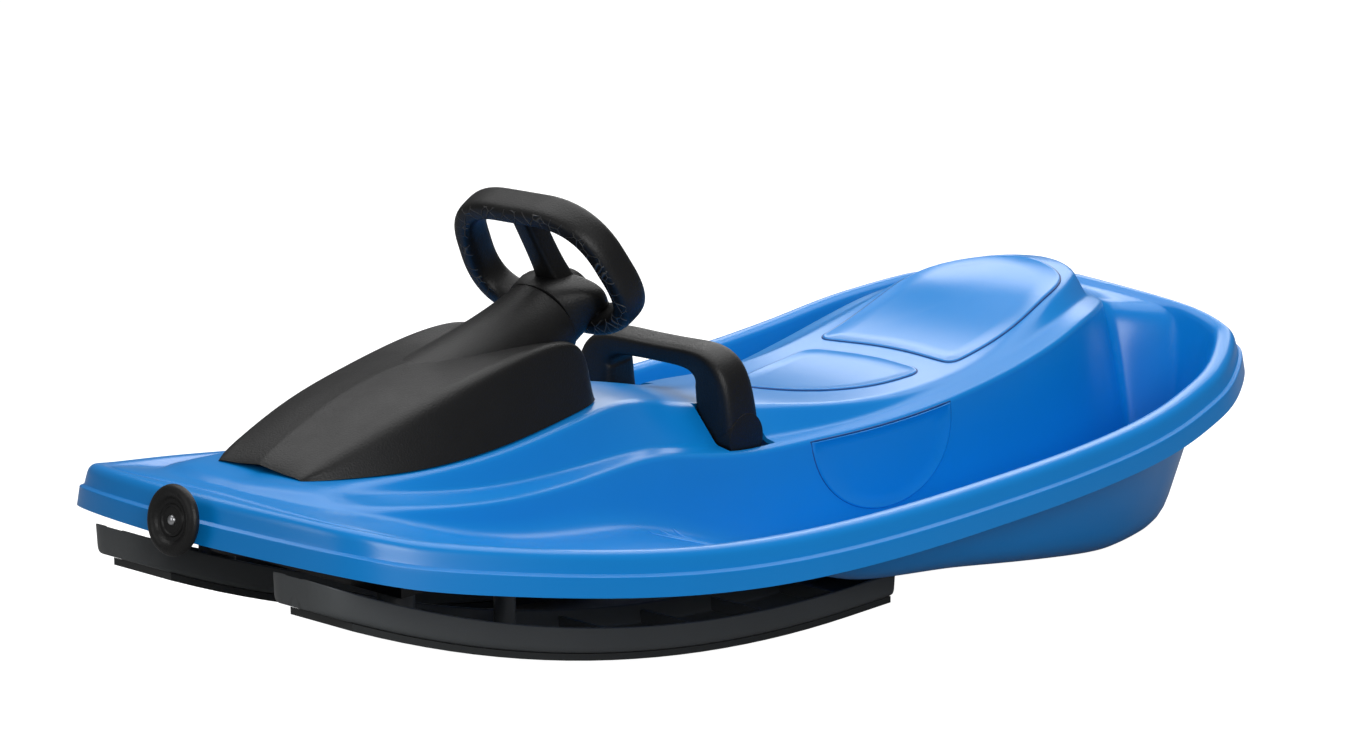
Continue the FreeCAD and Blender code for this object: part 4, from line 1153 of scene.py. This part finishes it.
@dataclass
class Ski:
    """A boat-shaped ski: an open tray bent along the running surface, with cross ribs.

    A post is its place along the sled, its foot, its top and its radius: the stud, its thin end and the kingpin boss.
    """

    sign: int
    gauge: float = 105.0
    half: float = 40.0
    wall: float = 4.0
    tail: float = -127.0
    tip: float = 556.0
    bend: float = -60.0
    rocker: float = 1500.0
    base: float = 6.0
    floor: float = 5.0
    rise: float = 22.0
    tail_round: float = 14.0
    tip_round: float = 26.0
    end_wall: float = 8.1
    brim: float = 0.6
    ends: tuple[float, ...] = (0, 0.3, 1.2, 2.6, 4.6, 7.2, 8.0, 8.2, 12, 16, 20, 26)
    run_in: float = 34.0
    trims: tuple[float, ...] = (0, 6, 1.6, 1.6, 3, 0)
    ribs: tuple[float, ...] = (-50, 40, 130, 230, 390, 520)
    rib_half: float = 1.5
    rib_sunk: float = 2.0
    rib_below: float = 5.0
    posts: tuple[tuple[float, ...], ...] = ((330, 60, 118, 9), (330, 116, 140, 5), (450, 100, 130.7, 15))

    def level(self, x: np.ndarray, inset: float) -> np.ndarray:
        """Height of a line parallel to the running surface: a flat run and then an arc about one centre."""
        return self.rocker - np.sqrt((self.rocker - inset) ** 2 - np.maximum(x - self.bend, 0) ** 2)

    @staticmethod
    def narrowing(radius: float, gap: np.ndarray) -> np.ndarray:
        """Loss of half width at a gap from an end that is rounded in plan by an arc of a radius."""
        return radius - np.sqrt(np.maximum(radius ** 2 - np.maximum(radius - gap, 0) ** 2, 0))

    def tray(self) -> np.ndarray:
        """Half sections from the keel round the wall to the tray's middle, from the tail to the tip.

        Returns:
            Sections by points by three.
        """
        ends = np.array(self.ends)
        run = np.linspace(self.tail + self.run_in, self.tip - self.run_in, 90)
        x = np.concatenate([self.tail + ends, run, self.tip - ends[::-1]])
        back, front = x - self.tail, self.tip - x
        outer = self.half - self.narrowing(self.tail_round, back) - self.narrowing(self.tip_round, front)
        inner = np.maximum(outer - self.wall, 1)
        keel, top = self.level(x, self.base), self.level(x, self.base + self.rise)
        bed = np.where(np.minimum(back, front) > self.end_wall, self.level(x, self.base + self.floor), top - self.brim)
        zero = np.zeros_like(x)
        y = np.stack([zero, outer - 1.5, outer, inner, inner - 1, zero], 1)
        z = np.stack([keel, keel, top, top, bed, bed], 1)
        net = np.stack([np.repeat(x[:, None], 6, 1), y, z], -1)
        grid = round_corners(net, self.trims, 6, 1)
        shut = np.array([(x[0], 0, (keel[0] + top[0]) / 2), (x[-1], 0, (keel[-1] + top[-1]) / 2)])
        caps = np.broadcast_to(shut[:, None], (2, *grid.shape[1:]))
        return np.concatenate([caps[:1], grid, caps[1:]])

    @staticmethod
    def post(x: float, low: float, high: float, radius: float) -> np.ndarray:
        """An upright round post with an eased top, as rings from its foot.

        Args:
            x: Place along the sled.
            low: Height of the foot.
            high: Height of the top.
            radius: Radius below the easing.

        Returns:
            Rings by points by three.
        """
        z = np.array((low, high - 1, high - 0.3, high))
        size = radius - np.array((0, 0, 0.3, 1.0))
        return capped(sweep(np.stack([z * 0 + x, z * 0, z], 1), AXIS_X, AXIS_Y, size, size, 2.0, 40))

    def rib(self, x: float) -> np.ndarray:
        """A thin cross rib of the tray, as two squarish rings.

        Args:
            x: Place along the sled.

        Returns:
            Rings by points by three.
        """
        z = np.array((self.level(x, self.base + self.rib_sunk), self.level(x, self.base + self.rise) - self.rib_below))
        path = np.stack([z * 0 + x, z * 0, z], 1)
        return capped(sweep(path, AXIS_X, AXIS_Y, self.rib_half, self.half - self.wall, 12.0, 40))

    def build(self, paint: Paint) -> bpy.types.Object:
        """Make the ski with its ribs, kingpin boss and stud.

        Args:
            paint: Finishes.

        Returns:
            The ski.
        """
        tag = "left" if self.sign > 0 else "right"
        skin = Skin().add(self.tray()).mirrored()
        for x in self.ribs:
            skin.add(self.rib(x), ring_columns=True)
        for post in self.posts:
            skin.add(self.post(*post), ring_columns=True)
        skin.points = [p + np.array((0, self.sign * self.gauge, 0)) for p in skin.points]
        piece = skin.mesh(f"{tag}_ski_moulding")
        paint.on_piece(piece, Slot.SKI)
        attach(piece, f"{tag}_ski")
        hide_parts(f"{tag}_ski")
        return piece


@dataclass
class PullDisc:
    """The pull handle at the nose: a dished disc with a rolled rim on the stem of the cord, and a bright stud.

    A point of a profile is its radius and its distance along the cord's line.
    """

    seat: Point = (576.5, 0, 193)
    tilt: float = 10.0
    radius: float = 28.5
    trims: tuple[float, ...] = (0, 0.4, 0.4, 0.4, 0.4, 1.5, 2, 2.4, 2.4, 2.4, 2, 2, 0.3, 0.3, 0)
    dome: tuple[Flat, ...] = ((0, 11.6), (1.4, 11.5), (2.8, 11.1), (3.7, 10.4), (4, 9.6), (4, 7.5), (0, 7.5))
    around: int = 72
    dome_sharp_deg: float = 50.0

    def turned(self, profile: np.ndarray) -> np.ndarray:
        """Turn a profile about the cord's line.

        Each point is seat + radius * (cos(angle) across + sin(angle) up) + distance * along.

        Args:
            profile: Points of radius and distance.

        Returns:
            Profile points by angles by three.
        """
        c, s = math.cos(math.radians(self.tilt)), math.sin(math.radians(self.tilt))
        angle = np.linspace(0, 2 * np.pi, self.around, endpoint=False)
        spoke = np.cos(angle)[:, None] * np.array(AXIS_Y) + np.sin(angle)[:, None] * np.array((-s, 0, c))
        run = profile[:, 1, None, None] * np.array((c, 0, s))
        return np.array(self.seat) + profile[:, 0, None, None] * spoke + run

    def disc(self) -> np.ndarray:
        """Profile from the middle of the face over the boss ring, the dish and the rim to the end of the stem.

        Returns:
            Points of radius and distance.
        """
        rim = self.radius
        boss = ((0, 9), (10.5, 8.6), (11.2, 9.8), (12.4, 9.8), (13.1, 8.4))
        roll = ((rim - 12.5, 8.2), (rim - 9.5, 11.8), (rim - 5.5, 13), (rim - 1.2, 11), (rim, 7), (rim - 3, 3.2))
        stem = ((rim - 11, 2), (6, 2), (6, -36), (0, -36))
        return round_corners([boss + roll + stem], self.trims, 6, 1)[0]

    def build(self, paint: Paint) -> bpy.types.Object:
        """Make the disc and its stud.

        Args:
            paint: Finishes.

        Returns:
            The disc.
        """
        piece = Skin().add(self.turned(self.disc()), ring_columns=True).mesh("pull_moulding")
        paint.on_piece(piece, Slot.BLACK)
        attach(piece, Body.PULL.value)
        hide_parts("pull_handle")
        dome = self.turned(np.array(self.dome))
        stud = Skin().add(dome, ring_columns=True).mesh("pull_stud", self.dome_sharp_deg)
        paint.on_piece(stud, Slot.STEEL)
        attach(stud, Body.PULL.value)
        return piece


@dataclass(frozen=True)
class Lamp:
    """A soft box: where it stands and points to, its width and height in metres, and its watts."""

    name: str
    at: Point
    aim: Point
    wide: float
    high: float
    power: float

    def build(self) -> None:
        """Add the lamp to the scene."""
        data = bpy.data.lights.new(self.name, "AREA")
        data.shape = "RECTANGLE"
        data.size, data.size_y, data.energy = self.wide, self.high, self.power
        lamp = bpy.data.objects.new(self.name, data)
        lamp.location = self.at
        lamp.rotation_mode = "QUATERNION"
        lamp.rotation_quaternion = (Vector(self.aim) - Vector(self.at)).to_track_quat("-Z", "Y")
        bpy.context.scene.collection.objects.link(lamp)


@dataclass
class Studio:
    """Camera, lights and floor, in metres."""

    eye: Point = (2.5174, 2.2822, 1.0044)
    aim: Point = (-0.0057, -0.0090, 0.2078)
    lens: float = 105.8
    sensor: float = 36.0
    roll: float = -0.0041
    lamps: tuple[Lamp, ...] = (
        Lamp("key", (-0.4, -0.5, 2.5), (0, 0, 0.2), 3.8, 2.6, 68),
        Lamp("side", (1.4, 2.6, 1.5), (0.1, 0, 0.2), 1.8, 1.2, 46),
        Lamp("front", (3.0, -0.6, 1.2), (0.3, 0, 0.2), 1.4, 1.0, 9),
        Lamp("back", (-2.4, -1.2, 1.4), (-0.2, 0, 0.2), 1.8, 1.0, 18))
    fill: float = 0.14
    floor_half: float = 40.0
    floor_drop: float = 0.0005
    floor_grey: float = 0.30
    floor_rough: float = 0.8
    # A painted shadow on the floor below the far half of the sled: the ellipse's middle, its scale and the edge where
    # the glow starts.
    painted_shadow_at: Point = (-0.08, -0.12, 0)
    painted_shadow_half: Point = (0.27, 0.22, 1)
    painted_shadow_edge: float = 0.92

    def build(self) -> None:
        """Set up the view and the light."""
        scene = bpy.context.scene
        scene.view_settings.view_transform = "Standard"
        self.camera(scene)
        for lamp in self.lamps:
            lamp.build()
        self.world(scene)
        self.floor()

    def camera(self, scene: bpy.types.Scene) -> None:
        """Place the camera where the photograph was taken from.

        Args:
            scene: The scene.
        """
        data = bpy.data.cameras.new("camera")
        data.sensor_width = self.sensor
        data.lens = self.lens
        camera = bpy.data.objects.new("camera", data)
        scene.collection.objects.link(camera)
        way = Vector(self.aim) - Vector(self.eye)
        camera.matrix_world = (Matrix.Translation(Vector(self.eye)) @ way.to_track_quat("-Z", "Y").to_matrix().to_4x4()
                               @ Matrix.Rotation(self.roll, 4, "Z"))
        scene.camera = camera

    def world(self, scene: bpy.types.Scene) -> None:
        """White to the camera, a soft grey to everything else.

        Args:
            scene: The scene.
        """
        world = bpy.data.worlds.new("studio")
        world.use_nodes = True
        tree = world.node_tree
        ground = tree.nodes["Background"]
        ground.inputs["Color"].default_value = (1, 1, 1, 1)
        path = tree.nodes.new("ShaderNodeLightPath")
        power = tree.nodes.new("ShaderNodeMapRange")
        power.inputs["To Min"].default_value = self.fill
        power.inputs["To Max"].default_value = 1.0
        tree.links.new(path.outputs["Is Camera Ray"], power.inputs["Value"])
        tree.links.new(power.outputs["Result"], ground.inputs["Strength"])
        scene.world = world

    def floor(self) -> None:
        """Lay the floor a hair below the snow line."""
        data = bpy.data.meshes.new("floor")
        half = self.floor_half
        data.from_pydata([(-half, -half, 0), (half, -half, 0), (half, half, 0), (-half, half, 0)], [], [(0, 1, 2, 3)])
        floor = bpy.data.objects.new("floor", data)
        floor.location.z = -self.floor_drop
        bpy.context.scene.collection.objects.link(floor)
        data.materials.append(self.floor_finish())

    def floor_finish(self) -> bpy.types.Material:
        """A grey that looks white to the camera, but for a painted shadow below the far half of the sled.

        The painted shadow is an ellipse without glow: the glow starts where the distance from its middle passes the
        edge.

        Returns:
            The new material.
        """
        material = bpy.data.materials.new("pale_floor")
        material.use_nodes = True
        tree = material.node_tree
        out = tree.nodes["Material Output"]
        shader = tree.nodes["Principled BSDF"]
        shader.inputs["Base Color"].default_value = (*(self.floor_grey,) * 3, 1)
        shader.inputs["Roughness"].default_value = self.floor_rough
        place = tree.nodes.new("ShaderNodeTexCoord")
        painted_shadow_map = tree.nodes.new("ShaderNodeMapping")
        painted_shadow_map.vector_type = "TEXTURE"
        painted_shadow_map.inputs["Location"].default_value = self.painted_shadow_at
        painted_shadow_map.inputs["Scale"].default_value = self.painted_shadow_half
        tree.links.new(place.outputs["Object"], painted_shadow_map.inputs["Vector"])
        away = tree.nodes.new("ShaderNodeVectorMath")
        away.operation = "LENGTH"
        tree.links.new(painted_shadow_map.outputs["Vector"], away.inputs[0])
        # Nought inside the ellipse, rising to one beyond its edge: the painted shadow keeps the floor's glow away.
        outside_painted_shadow = tree.nodes.new("ShaderNodeMapRange")
        outside_painted_shadow.inputs["From Min"].default_value = self.painted_shadow_edge
        tree.links.new(away.outputs["Value"], outside_painted_shadow.inputs["Value"])
        path = tree.nodes.new("ShaderNodeLightPath")
        seen = tree.nodes.new("ShaderNodeMath")
        seen.operation = "MULTIPLY"
        tree.links.new(path.outputs["Is Camera Ray"], seen.inputs[0])
        tree.links.new(outside_painted_shadow.outputs["Result"], seen.inputs[1])
        glow = tree.nodes.new("ShaderNodeEmission")
        tree.links.new(seen.outputs["Value"], glow.inputs["Strength"])
        both = tree.nodes.new("ShaderNodeAddShader")
        tree.links.new(shader.outputs["BSDF"], both.inputs[0])
        tree.links.new(glow.outputs["Emission"], both.inputs[1])
        tree.links.new(both.outputs["Shader"], out.inputs["Surface"])
        return material


def main() -> None:
    """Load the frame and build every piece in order."""
    logging.basicConfig(level=logging.INFO)
    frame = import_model()
    paint = Paint()
    paint.on_cad(frame)
    deck = Deck()
    for maker in (deck, Cowl(deck), Panels(deck), Wheel(), Brake(), PullDisc(), Ski(1), Ski(-1)):
        piece = maker.build(paint)
        LOG.info("built %s with %d faces", piece.name, len(piece.data.polygons))
    Studio().build()


if __name__ == "__main__":
    main()
